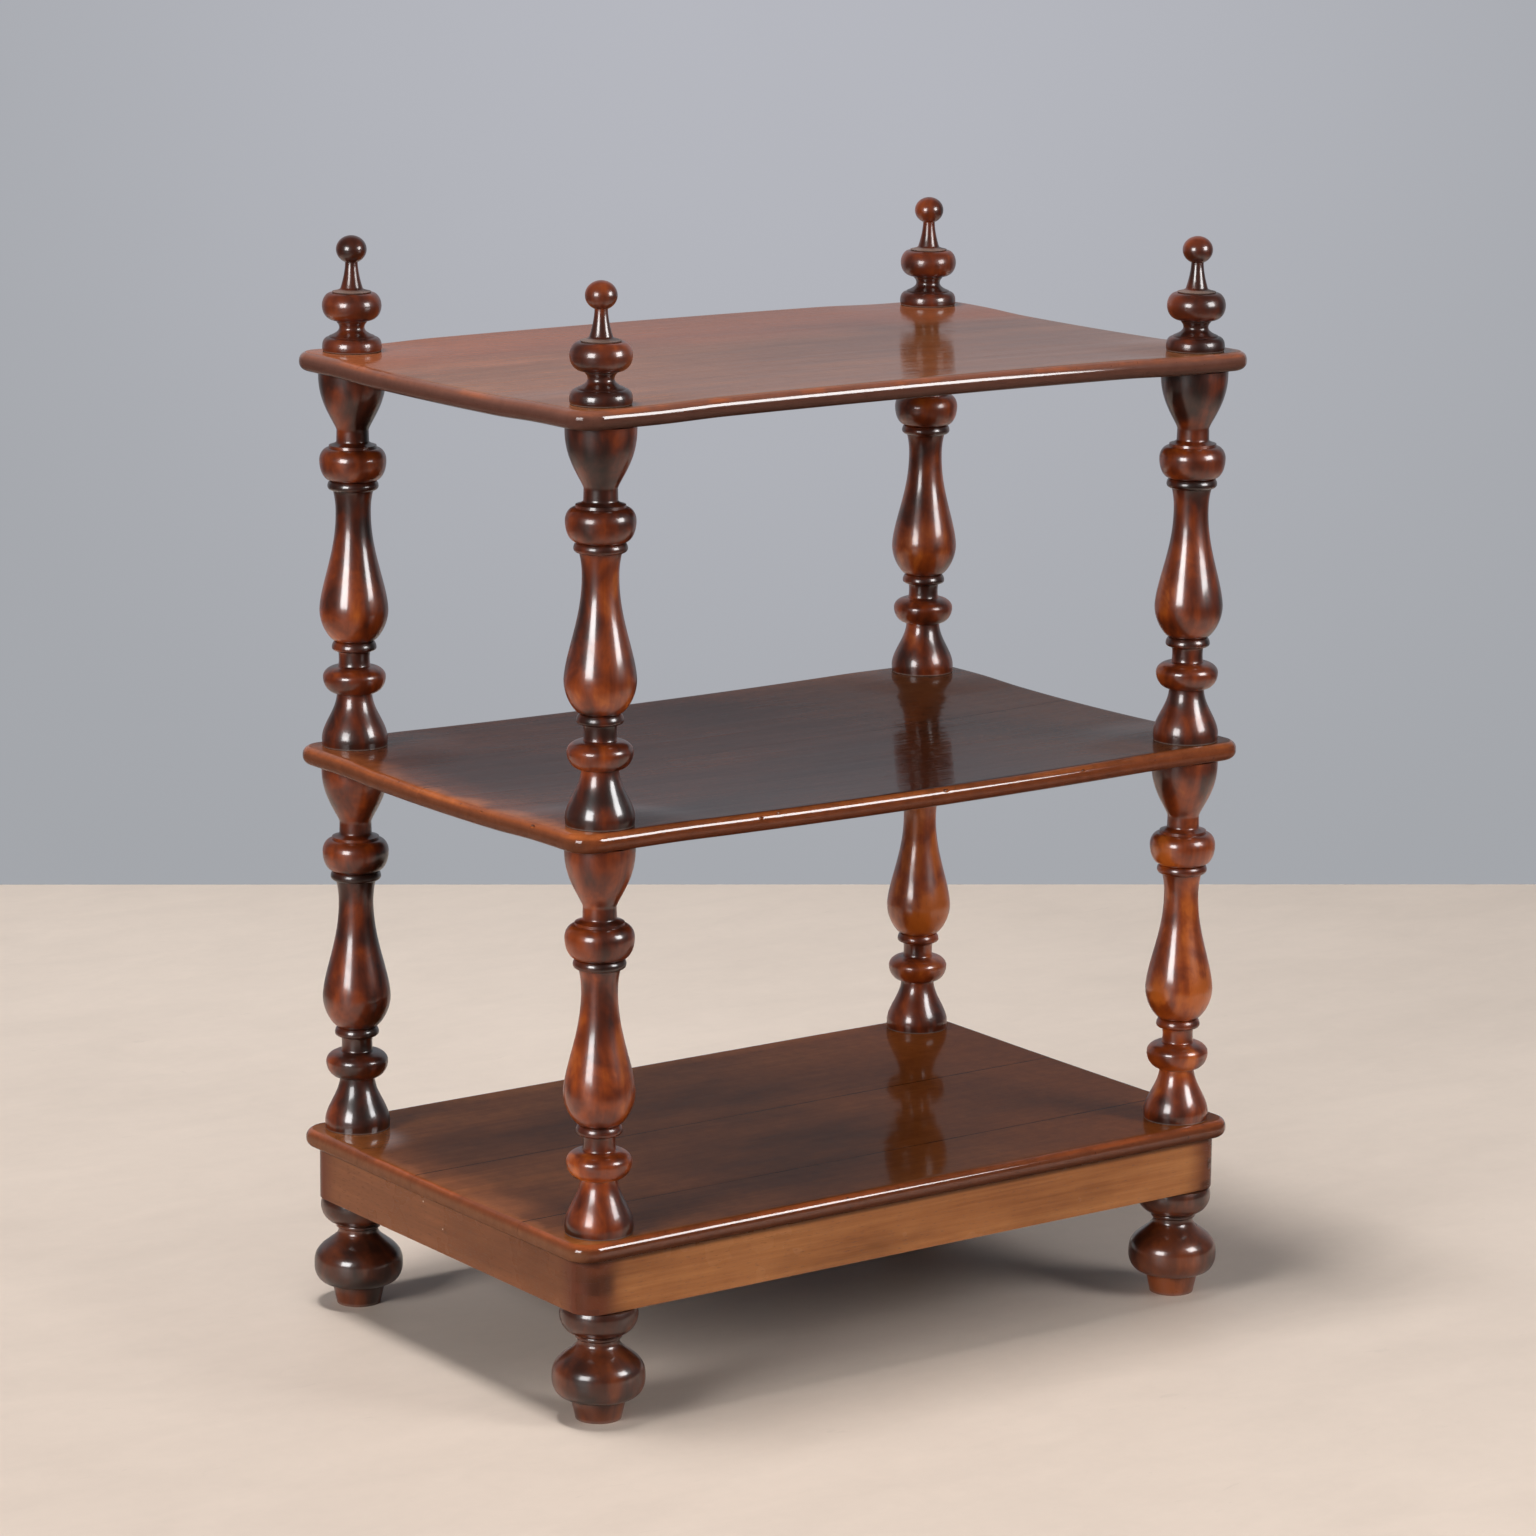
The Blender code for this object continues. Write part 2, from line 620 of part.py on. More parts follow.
def add_corner_block(corner, side, end, parts, cutters):
    # seats against both rails and the shelf, bored right through for the post and the foot
    name = "corner_block_" + corner
    outer_x = APRON_X - APRON_THICKNESS - FIT_GAP
    outer_y = APRON_Y - APRON_THICKNESS - FIT_GAP
    xs = sorted((side * outer_x, side * (outer_x - BLOCK_LENGTH)))
    ys = sorted((end * outer_y, end * (outer_y - BLOCK_DEPTH)))
    block = span_box(
        name, (xs[0], ys[0], APRON_LEVEL), (xs[1], ys[1], APRON_LEVEL + APRON_HEIGHT), parts)
    round_upright_edges(block, BLOCK_CHAMFER, 1, lambda x, y: x * side < 0 and y * end < 0)
    place = (side * POST_X, end * POST_Y, APRON_LEVEL + APRON_HEIGHT / 2)
    height = APRON_HEIGHT + 2 * OVERRUN
    boolean(block, round_cutter(name + "_bore", SOCKET_RADIUS, POST_SIDES, place, height, cutters),
            "DIFFERENCE")
    return finish(block, (0.190, 0.090, 0.050), 0.60)


def add_apron(parts, cutters):
    outline = add_outline(cutters)
    add_long_rail("apron_front", -1, outline, parts, cutters)
    add_long_rail("apron_back", 1, outline, parts, cutters)
    add_short_rail("apron_left", -1, outline, parts, cutters)
    add_short_rail("apron_right", 1, outline, parts, cutters)
    for corner, (side, end) in CORNERS.items():
        add_corner_block(corner, side, end, parts, cutters)


def build():
    clear_scene()
    parts = new_collection("etagere")
    cutters = new_collection("cutters")
    add_turnings(parts)
    add_shelves(parts, cutters)
    add_apron(parts, cutters)


build()
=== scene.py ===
from math import asin, cos, hypot, pi, radians, sin

import bmesh
import bpy
import numpy as np
from mathutils import Euler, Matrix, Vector


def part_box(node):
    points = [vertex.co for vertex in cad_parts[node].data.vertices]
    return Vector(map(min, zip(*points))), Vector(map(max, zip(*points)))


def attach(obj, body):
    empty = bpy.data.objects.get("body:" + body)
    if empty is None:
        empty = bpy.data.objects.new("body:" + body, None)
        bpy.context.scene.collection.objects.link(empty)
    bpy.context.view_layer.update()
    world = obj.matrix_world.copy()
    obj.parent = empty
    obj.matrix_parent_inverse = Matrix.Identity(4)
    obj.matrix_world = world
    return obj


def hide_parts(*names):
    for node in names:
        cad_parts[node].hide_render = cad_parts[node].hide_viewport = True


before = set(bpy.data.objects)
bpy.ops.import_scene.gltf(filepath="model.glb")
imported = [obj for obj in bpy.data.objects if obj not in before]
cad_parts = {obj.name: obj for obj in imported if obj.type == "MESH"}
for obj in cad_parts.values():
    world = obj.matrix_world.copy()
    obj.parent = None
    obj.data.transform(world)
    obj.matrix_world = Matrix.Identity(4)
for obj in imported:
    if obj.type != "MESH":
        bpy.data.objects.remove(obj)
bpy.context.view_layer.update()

# The pieces are laid out in metres: +X to the right along the front, -Y to the viewer, +Z up.

corners = ("front_left", "front_right", "back_left", "back_right")


# Camera, lamps and backdrop

viewpoint = {
    "place": (-2.822, -3.896, 1.5318),
    "turn": (78.019, -0.517, -35.761),  # degrees
    "lens": 124.15,
}

# strength is what a white surface that faces the lamp gives back. A lamp that serves the gloss
# stands clear of its matt one, because reflected rays pass over lamps that share one place.
studio = {
    "aim": (0, 0, 0.5),
    "lamps": {
        "leftLamp": {"place": (-4.3, -1.05, 1.85), "size": 1.6, "strength": 0.60, "serves": "matt"},
        "leftShineLamp": {"place": (-4.4, -1.65, 1.85), "size": 2.0, "strength": 1.00, "serves": "gloss"},
        "rightLamp": {"place": (1.55, -2.50, 1.65), "size": 1.2, "strength": 0.42, "serves": "matt"},
        "rightShineLamp": {"place": (1.08, -2.00, 1.55), "size": 0.95, "strength": 0.82, "serves": "gloss"},
        "ceilingLamp": {"place": (-0.77, 0.16, 6.0), "size": 1.05, "strength": 0.82, "serves": "matt"},
    },
}

surroundings = {
    "size": 40.0,
    "wallDistance": 1.70,  # behind the middle of the floor
    "wallTurn": 2.4,       # degrees off square to the view
    "floorRoughness": 0.55, "floorSpecular": 0.25,
    "floorColour": (0.640, 0.525, 0.440, 1),
    "floorFarColour": (0.750, 0.638, 0.548, 1),
    "floorLitFrom": (0.30, 0.42, 0), "floorLitReach": 3.4,
    # painted shade: past the lit floor, the floor is painted dark for every ray but the camera's
    "floorPaintedShade": (0.12, 0.10, 0.09, 1),  # what the pieces see past the lit floor
    # painted light and shade, where the floor is made a little paler or darker: middle, reach, how much
    "floorLightAndShadePatches": [
        ((0.62, -0.45, 0), 0.80, -0.11), ((-0.78, -0.05, 0), 0.55, -0.06), ((0.0, 1.7, 0), 1.6, 0.07),
    ],
    "wallColour": (0.370, 0.383, 0.409, 1),
    "wallGlow": (0.474, 0.483, 0.530, 1),
    "glowHeight": 1.25, "glowReach": 1.6,
    "wallBounce": 0.45,                    # how much of the wall's light reaches the pieces
    "wallLitReach": 5.0, "wallFar": 0.32,  # and how it fades to either side in their gloss
    "viewColour": (0.43, 0.445, 0.474, 1),
    "roomColour": (0.105, 0.094, 0.090, 1),
    "roomLight": 0.11,
}


class Wire:
    # one socket of a material's nodes; sums on it add their own Math nodes
    def __init__(self, tree, socket=None):
        self.tree = tree
        self.socket = socket

    def node(self, kind, settings, inputs, output=0):
        made = self.tree.nodes.new("ShaderNode" + kind)
        for name, value in settings.items():
            if name == "stops":
                fillRamp(made.color_ramp, value)
            else:
                setattr(made, name, value)
        for name, value in inputs.items():
            if isinstance(value, Wire):
                self.tree.links.new(value.socket, made.inputs[name])
            else:
                made.inputs[name].default_value = value
        return Wire(self.tree, made.outputs[output])

    def maths(self, operation, first, second=0):
        return self.node("Math", {"operation": operation}, {0: first, 1: second})

    def size(self):
        return self.maths("ABSOLUTE", self)

    def __add__(self, other):
        return self.maths("ADD", self, other)

    def __sub__(self, other):
        return self.maths("SUBTRACT", self, other)

    def __rsub__(self, other):
        return self.maths("SUBTRACT", other, self)

    def __mul__(self, other):
        return self.maths("MULTIPLY", self, other)

    __radd__ = __add__
    __rmul__ = __mul__

    def step(self, low, high):
        # 0 below low, 1 above high, and smooth between
        edges = {"Value": self, "From Min": low, "From Max": high}
        return self.node("MapRange", {"interpolation_type": "SMOOTHSTEP"}, edges)

    def mix(self, first, second):
        # from the first colour at 0 to the second at 1
        return self.node("Mix", {"data_type": "RGBA"}, {0: self, 6: first, 7: second}, 2)

    def shaded(self, colour):
        # the colour times this value
        settings = {"data_type": "RGBA", "blend_type": "MULTIPLY"}
        return self.node("Mix", settings, {0: 1, 6: colour, 7: self}, 2)

    def ramp(self, stops):
        return self.node("ValToRGB", {"stops": stops}, {"Fac": self})

    def stretched(self, scale):
        return self.node("Mapping", {}, {"Vector": self, "Scale": scale})

    def noise(self, scale, detail=3, roughness=0.5, distortion=0):
        inputs = {
            "Vector": self, "Scale": scale, "Detail": detail,
            "Roughness": roughness, "Distortion": distortion,
        }
        return self.node("TexNoise", {}, inputs)

    def axis(self, which):
        return self.node("SeparateXYZ", {}, {0: self}, which)

    def nearness(self, point, radius):
        # 1 at a point, falling to 0 at the radius
        gap = self.node("VectorMath", {"operation": "DISTANCE"}, {0: self, 1: point}, "Value")
        return 1 - gap.step(0, radius)

    def into(self, shader, name):
        self.tree.links.new(self.socket, shader.inputs[name])


def fillRamp(ramp, stops):
    while len(ramp.elements) < len(stops):
        ramp.elements.new(0.5)
    for element, (position, colour) in zip(ramp.elements, stops):
        element.position = position
        element.color = (*colour, 1)


def newMaterial(name):
    material = bpy.data.materials.new(name)
    material.use_nodes = True
    shader = material.node_tree.nodes["Principled BSDF"]
    return material, shader, Wire(material.node_tree)


def addCamera(viewpoint):
    bpy.ops.object.camera_add(
        location=viewpoint["place"], rotation=[radians(angle) for angle in viewpoint["turn"]])
    camera = bpy.context.object
    camera.name = "photoCamera"
    camera.data.sensor_width = 36
    camera.data.lens = viewpoint["lens"]
    bpy.context.scene.camera = camera


def addLamp(name, lamp, aim):
    bpy.ops.object.light_add(type="AREA", location=lamp["place"])
    light = bpy.context.object
    light.name = name
    reach = Vector(aim) - light.location
    light.rotation_euler = reach.to_track_quat("-Z", "Y").to_euler()
    light.data.size = lamp["size"]
    light.data.energy = lamp["strength"] * pi ** 2 * reach.length_squared
    light.visible_camera = False
    light.visible_glossy = lamp["serves"] == "gloss"
    light.visible_diffuse = lamp["serves"] == "matt"


def addFloor(surroundings):
    bpy.ops.mesh.primitive_plane_add(size=surroundings["size"], location=(0, 0, 0))
    floor = bpy.context.object
    floor.name = "studioFloor"
    material, shader, wire = newMaterial("paleFloor")
    place = wire.node("TexCoord", {}, {}, "Object")
    # the floor itself is paler towards the back right, where less of the left lamp's light falls
    depth = (place.axis(0) * 0.65 + place.axis(1) * 0.76).step(-2.0, 1.6)
    colour = depth.mix(surroundings["floorColour"], surroundings["floorFarColour"])
    mottle = place.noise(3.5, 5, 0.6)
    cloud = place.stretched((1.0, 2.2, 1)).noise(7, 5, 0.65, 0.5)
    grit = place.noise(60, 3, 0.6)
    scuff = place.stretched((3, 11, 1)).noise(6, 4, 0.7, 1.5).step(0.66, 0.72)
    colour = (0.845 + mottle * 0.12 + cloud * 0.14 + grit * 0.05 - scuff * 0.05).shaded(colour)
    # painted light and shade: patches of the floor made paler or darker
    for middle, reach, amount in surroundings["floorLightAndShadePatches"]:
        colour = (1 + place.nearness(middle, reach) * amount).shaded(colour)
    # painted shade: the floor past its lit reach turns dark in what the pieces reflect and in the light it
    # bounces
    seen = wire.node("LightPath", {}, {}, "Is Camera Ray")
    lit = place.nearness(surroundings["floorLitFrom"], surroundings["floorLitReach"]).step(0.25, 0.75)
    colour = ((1 - lit) * (1 - seen)).mix(colour, surroundings["floorPaintedShade"])
    colour.into(shader, "Base Color")
    shader.inputs["Roughness"].default_value = surroundings["floorRoughness"]
    shader.inputs["Specular IOR Level"].default_value = surroundings["floorSpecular"]
    floor.data.materials.append(material)


def addWall(surroundings, viewpoint):
    toView = Vector((*viewpoint["place"][:2], 0)).normalized()
    middle = -toView * surroundings["wallDistance"]
    facing = toView.copy()
    facing.rotate(Euler((0, 0, radians(surroundings["wallTurn"]))))
    bpy.ops.mesh.primitive_plane_add(
        size=surroundings["size"], location=middle, rotation=facing.to_track_quat("Z", "Y").to_euler())
    wall = bpy.context.object
    wall.name = "studioWall"
    bpy.ops.object.transform_apply(location=True, rotation=True, scale=True)
    material, shader, wire = newMaterial("blueGreyWall")
    place = wire.node("TexCoord", {}, {}, "Object")
    centre = (middle.x, middle.y, surroundings["glowHeight"])
    glow = place.nearness(centre, surroundings["glowReach"])
    colour = glow.mix(surroundings["wallColour"], surroundings["wallGlow"])
    cloud = place.noise(1.3, 3, 0.55)
    colour = (0.975 + cloud * 0.05).shaded(colour)
    seen = wire.node("LightPath", {}, {}, "Is Camera Ray")
    mirrored = wire.node("LightPath", {}, {}, "Is Glossy Ray")
    lit = place.nearness(centre, surroundings["wallLitReach"]).step(0.25, 0.75)
    inGloss = lit * (1 - surroundings["wallFar"]) + surroundings["wallFar"]
    bounce = surroundings["wallBounce"]
    strength = mirrored * (inGloss - bounce) + bounce
    strength = seen * (1 - strength) + strength
    paint = wire.node("Emission", {}, {"Color": colour, "Strength": strength})
    clear = wire.node("BsdfTransparent", {}, {})
    behind = wire.node("NewGeometry", {}, {}, "Backfacing")
    surface = wire.node("MixShader", {}, {0: behind, 1: paint, 2: clear})
    material.node_tree.nodes.remove(shader)
    surface.into(material.node_tree.nodes["Material Output"], "Surface")
    wall.data.materials.append(material)


def paintWorld(surroundings):
    # pale where the camera looks past the backdrop, and a dim room in every reflection
    world = bpy.context.scene.world or bpy.data.worlds.new("studioWorld")
    bpy.context.scene.world = world
    world.use_nodes = True
    world.node_tree.nodes.clear()
    wire = Wire(world.node_tree)
    seen = wire.node("LightPath", {}, {}, "Is Camera Ray")
    mirrored = wire.node("LightPath", {}, {}, "Is Glossy Ray")
    colour = mirrored.mix(surroundings["viewColour"], surroundings["roomColour"])
    lit = surroundings["roomLight"]
    strength = (seen + mirrored).step(0, 1) * (1 - lit) + lit
    sky = wire.node("Background", {}, {"Color": colour, "Strength": strength})
    output = world.node_tree.nodes.new("ShaderNodeOutputWorld")
    sky.into(output, "Surface")


bpy.context.scene.view_settings.view_transform = "Standard"
addCamera(viewpoint)
for lampName, lamp in studio["lamps"].items():
    addLamp(lampName, lamp, studio["aim"])
addFloor(surroundings)
addWall(surroundings, viewpoint)
paintWorld(surroundings)
print("camera, lamps and backdrop are in place")


# Modelling helpers

def deselectAll():
    if bpy.context.object and bpy.context.object.mode != "OBJECT":
        bpy.ops.object.mode_set(mode="OBJECT")
    bpy.ops.object.select_all(action="DESELECT")


def makeActive(thing):
    deselectAll()
    thing.select_set(True)
    bpy.context.view_layer.objects.active = thing


def startEdit(thing):
    makeActive(thing)
    bpy.ops.object.mode_set(mode="EDIT")
    bpy.ops.mesh.select_mode(type="EDGE")
    bpy.ops.mesh.select_all(action="SELECT")


def endEdit():
    bpy.ops.object.mode_set(mode="OBJECT")


def pickEdges(thing, wanted):
    # selects the edges whose two ends pass the test, and nothing else
    bpy.ops.mesh.select_all(action="DESELECT")
    mesh = bmesh.from_edit_mesh(thing.data)
    for edge in mesh.edges:
        if wanted(edge.verts[0].co, edge.verts[1].co):
            edge.select_set(True)
    bmesh.update_edit_mesh(thing.data)


def addBlock(name, low, high):
    deselectAll()
    low, high = Vector(low), Vector(high)
    bpy.ops.mesh.primitive_cube_add(size=1, location=(low + high) / 2, scale=high - low)
    block = bpy.context.object
    block.name = name
    bpy.ops.object.transform_apply(location=True, rotation=True, scale=True)
    return block


def copyOf(thing, name, shift=(0, 0, 0)):
    makeActive(thing)
    bpy.ops.object.duplicate(linked=False)
    copied = bpy.context.object
    copied.name = name
    bpy.ops.transform.translate(value=shift)
    bpy.ops.object.transform_apply(location=True, rotation=True, scale=True)
    return copied


def cutWith(thing, other, operation):
    # a boolean that is applied at once, after which the other shape is thrown away
    makeActive(thing)
    joint = thing.modifiers.new("joint", "BOOLEAN")
    joint.operation = operation
    joint.solver = "EXACT"
    joint.object = other
    bpy.ops.object.modifier_apply(modifier=joint.name)
    bpy.data.objects.remove(other)


finish = {
    "smoothAngle": 34,       # degrees, above which an edge stays sharp
    "mergeReach": 0.000002,  # between points that are one
}


def finishPiece(piece, material, nodes, weighted=True):
    startEdit(piece)
    bpy.ops.mesh.remove_doubles(threshold=finish["mergeReach"])
    bpy.ops.mesh.normals_make_consistent(inside=False)
    endEdit()
    bpy.ops.object.shade_smooth_by_angle(angle=radians(finish["smoothAngle"]))
    if weighted:
        weights = piece.modifiers.new("evenShading", "WEIGHTED_NORMAL")
        weights.keep_sharp = True
        bpy.ops.object.modifier_apply(modifier=weights.name)
    piece.data.materials.clear()
    piece.data.materials.append(material)
    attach(piece, "root")
    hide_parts(*nodes)


# Turned pieces. Each stroke of the lathe is its kind, the radius and the rise where it ends,
# how warm the polish has stayed there, and what shapes it. That tone is set low in the hollows
# and necks, partly as painted shade.

postTurning = {
    "sides": 64,
    "footRadius": 0.0300,
    "strokes": [
        ("straight", 0.0304, 0.0060, 0.30),
        ("ogee", 0.0163, 0.0430, 0.43, 0.95),
        ("bead", 0.0152, 0.0252, 0.58, 0.0289, 0.60),
        ("bead", 0.0150, 0.0140, 0.34, 0.0142, 0.50),
        ("bead", 0.0172, 0.0094, 0.34, 0.0206, 0.35),
        ("swell", 0.0316, 0.0292, 0.64, 0.65),
        ("ogee", 0.0161, 0.0902, 0.56, 0.81),
        ("flare", 0.0185, 0.0203, 0.52, 2.2),
        ("bead", 0.0203, 0.0092, 0.22, 0.0234, 0.43),
        ("bead", 0.0220, 0.0300, 0.56, 0.0306, 0.62),
        ("straight", 0.0217, 0.0024, 0.28),
        ("hollow", 0.0150, 0.0036, 0.26, 2.0),
        ("straight", 0.0147, 0.0105, 0.46),
        ("ogee", 0.0310, 0.0500, 0.44, 0.62),
        ("straight", 0.0311, 0.0040, 0.36),
    ],
    # old wax caught where the post meets the shelf: from, to, how much
    "dust": [(-0.001, 0.0009, 1.0)],
    # some posts have kept more of their colour than others
    "warmth": {
        "lower_front_left": 0.09, "lower_front_right": 0.22, "lower_back_left": -0.14,
        "lower_back_right": 0.18, "upper_front_right": -0.04, "upper_back_right": 0.12,
    },
}

finialTurning = {
    "sides": 56,
    "footRadius": 0.0262,
    "strokes": [
        ("bead", 0.0212, 0.0128, 0.34, 0.0271, 0.27),
        ("straight", 0.0205, 0.0010, 0.30),
        ("hollow", 0.0115, 0.0077, 0.36, 2.2),
        ("flare", 0.0140, 0.0050, 0.36, 2.0),
        ("straight", 0.0142, 0.0012, 0.30),
        ("straight", 0.0150, 0.0000, 0.30),
        ("bead", 0.0190, 0.0253, 0.48, 0.0270, 0.545),
        ("straight", 0.0172, 0.0000, 0.24),
        ("straight", 0.0178, 0.0012, 0.30),
        ("hollow", 0.0100, 0.0034, 0.38, 2.2),
        ("hollow", 0.0057, 0.0231, 0.42, 1.7),
        ("ball", 0.0003, 0.02419, 0.46, 0.0139, 0.91),
    ],
    # the disc on the bulb has lost its polish
    "dust": [(-0.001, 0.0009, 1.0), (0.0531, 0.0556, 0.8)],
    "warmth": {"front_left": 0.08, "front_right": -0.03, "back_left": 0.07, "back_right": 0.06},
}

footTurning = {
    "sides": 64,
    "footRadius": 0.0205,
    "strokes": [
        ("straight", 0.0248, 0.0195, 0.72),
        ("straight", 0.0290, 0.0010, 0.14),
        ("round", 0.0415, 0.0165, 0.44),
        ("ogee", 0.0188, 0.0340, 0.44, 1.65),
        ("straight", 0.0186, 0.0025, 0.20),
        ("bead", 0.0196, 0.0050, 0.28, 0.0210, 0.45),
        ("round", 0.0350, 0.0180, 0.38),
        ("flare", 0.0335, 0.0068, 0.30, 2.0),
    ],
    "dust": [(-0.001, 0.0030, 0.5)],
    "warmth": {"back_left": -0.16, "front_right": 0.10},
}

lathe = {
    "step": 0.0016,       # between two stations
    "toneBlend": 0.0050,  # how far a change of tone spreads
}


def strokePoint(kind, start, end, t, shape):
    # radius and height at a share t of a stroke
    radius, level = start
    endRadius, endLevel = end
    across, up = t, t
    if kind == "ogee":
        across = (1 - cos(pi * t ** shape[0])) / 2
    elif kind == "swell":
        across = sin(pi / 2 * t) ** shape[0]
    elif kind == "flare":
        across = t ** shape[0]
    elif kind == "hollow":
        across = 1 - (1 - t) ** shape[0]
    elif kind == "round":
        across, up = sin(pi / 2 * t), 1 - cos(pi / 2 * t)
    elif kind == "bead":
        crown, crownShare = shape
        lift = 1 - cos(pi * t)
        up = crownShare * lift if lift < 1 else crownShare + (1 - crownShare) * (lift - 1)
        root = radius + (endRadius - radius) * up
        return root + (crown - root) * sin(pi * t), level + (endLevel - level) * up
    elif kind == "ball":
        ballRadius, flatness = shape
        angle = asin(radius / ballRadius)
        angle += (pi - angle - asin(endRadius / ballRadius)) * t
        return ballRadius * sin(angle), endLevel - ballRadius * flatness * (1 + cos(angle))
    return radius + (endRadius - radius) * across, level + (endLevel - level) * up


def latheStations(turning):
    # every station's radius, height and tone, from the foot up
    start = (turning["footRadius"], 0)
    stations = [(*start, turning["strokes"][0][3])]
    for kind, endRadius, rise, tone, *shape in turning["strokes"]:
        end = (endRadius, start[1] + rise)
        reach = hypot(end[0] - start[0], rise)
        if kind in ("bead", "ball"):
            reach = max(reach, 2 * abs(shape[0] - min(start[0], end[0])) + rise)
        steps = max(2, round(reach / lathe["step"]))
        for k in range(1, steps + 1):
            stations.append((*strokePoint(kind, start, end, k / steps, shape), tone))
        start = end
    return stations


def turnPiece(name, turning):
    # a disc that is drawn up from station to station, as wide as the lathe leaves it
    stations = latheStations(turning)
    deselectAll()
    bpy.ops.mesh.primitive_circle_add(
        vertices=turning["sides"], radius=stations[0][0], fill_type="NGON", location=(0, 0, 0))
    piece = bpy.context.object
    piece.name = name
    bpy.ops.object.mode_set(mode="EDIT")
    bpy.ops.mesh.select_mode(type="FACE")
    bpy.ops.mesh.select_all(action="SELECT")
    for (radius, level, _), (nextRadius, nextLevel, _) in zip(stations, stations[1:]):
        wider = nextRadius / radius
        bpy.ops.mesh.extrude_region_move(TRANSFORM_OT_translate={"value": (0, 0, nextLevel - level)})
        bpy.ops.transform.resize(value=(wider, wider, 1), center_override=(0, 0, nextLevel))
    bpy.ops.mesh.select_all(action="SELECT")
    bpy.ops.mesh.normals_make_consistent(inside=False)
    endEdit()
    paintToneAndShade(piece, stations, turning["dust"])
    return piece


def paintToneAndShade(piece, stations, dust):
    # each point takes the tone of its own stretch of the outline, softened into the next
    outline = np.array([(radius, level) for radius, level, _ in stations])
    tones = np.array([tone for _, _, tone in stations])
    along = np.concatenate([[0], np.cumsum(np.hypot(*np.diff(outline, axis=0).T))])
    near = np.exp(-((along[:, None] - along[None, :]) / lathe["toneBlend"]) ** 2)
    softened = near @ tones / near.sum(axis=1)
    count = len(piece.data.vertices)
    points = np.zeros(count * 3)
    piece.data.vertices.foreach_get("co", points)
    points = points.reshape(-1, 3)
    radii = np.hypot(points[:, 0], points[:, 1])
    gaps = np.hypot(radii[:, None] - outline[:, 0], points[:, 2][:, None] - outline[:, 1])
    tone = piece.data.attributes.new("tone", "FLOAT", "POINT")
    tone.data.foreach_set("value", softened[gaps.argmin(axis=1)])
    caught = np.zeros(count)
    for low, high, amount in dust:
        caught[(points[:, 2] > low) & (points[:, 2] < high)] = amount
    wax = piece.data.attributes.new("wax", "FLOAT", "POINT")
    wax.data.foreach_set("value", caught)


def shiftTone(piece, amount):
    # the whole piece has kept a little more of its colour, or less
    for point in piece.data.attributes["tone"].data:
        point.value += amount


turnedPolish = {
    "posts": {
        "stops": [
            (0.0, (0.015, 0.004, 0.002)), (0.28, (0.050, 0.010, 0.004)), (0.52, (0.132, 0.021, 0.004)),
            (0.78, (0.270, 0.047, 0.006)), (1.0, (0.460, 0.105, 0.013)),
        ],
        "roughness": 0.33, "mottle": 1.0,
    },
    "finials": {
        "stops": [
            (0.0, (0.014, 0.004, 0.002)), (0.28, (0.045, 0.010, 0.005)), (0.52, (0.120, 0.022, 0.007)),
            (0.78, (0.245, 0.048, 0.010)), (1.0, (0.410, 0.098, 0.018)),
        ],
        "roughness": 0.33, "mottle": 0.7,
    },
    "feet": {
        "stops": [
            (0.0, (0.022, 0.007, 0.004)), (0.28, (0.058, 0.014, 0.006)), (0.52, (0.115, 0.026, 0.008)),
            (0.78, (0.190, 0.043, 0.011)), (1.0, (0.280, 0.066, 0.015)),
        ],
        "roughness": 0.29, "mottle": 0.9,
    },
    # how often each marking repeats in a metre, across and along the turning
    "cloud": 19, "patch": (38, 38, 26), "figure": (75, 30, 5),
    "grain": (330, 330, 20), "pores": (1100, 1100, 70),
    "blend": (1.2, 1.25, 0.9),  # how much cloud, patch and figure each change the tone
    "dirtAndShadeColour": (0.030, 0.012, 0.007, 1),
    "waxColour": (0.22, 0.15, 0.12, 1),
    "specular": 0.30,
    "coatRoughness": 0.13,
    "leastCoat": 0.45, "moreCoat": 0.45,  # where the polish is thin, and what a full one adds
}


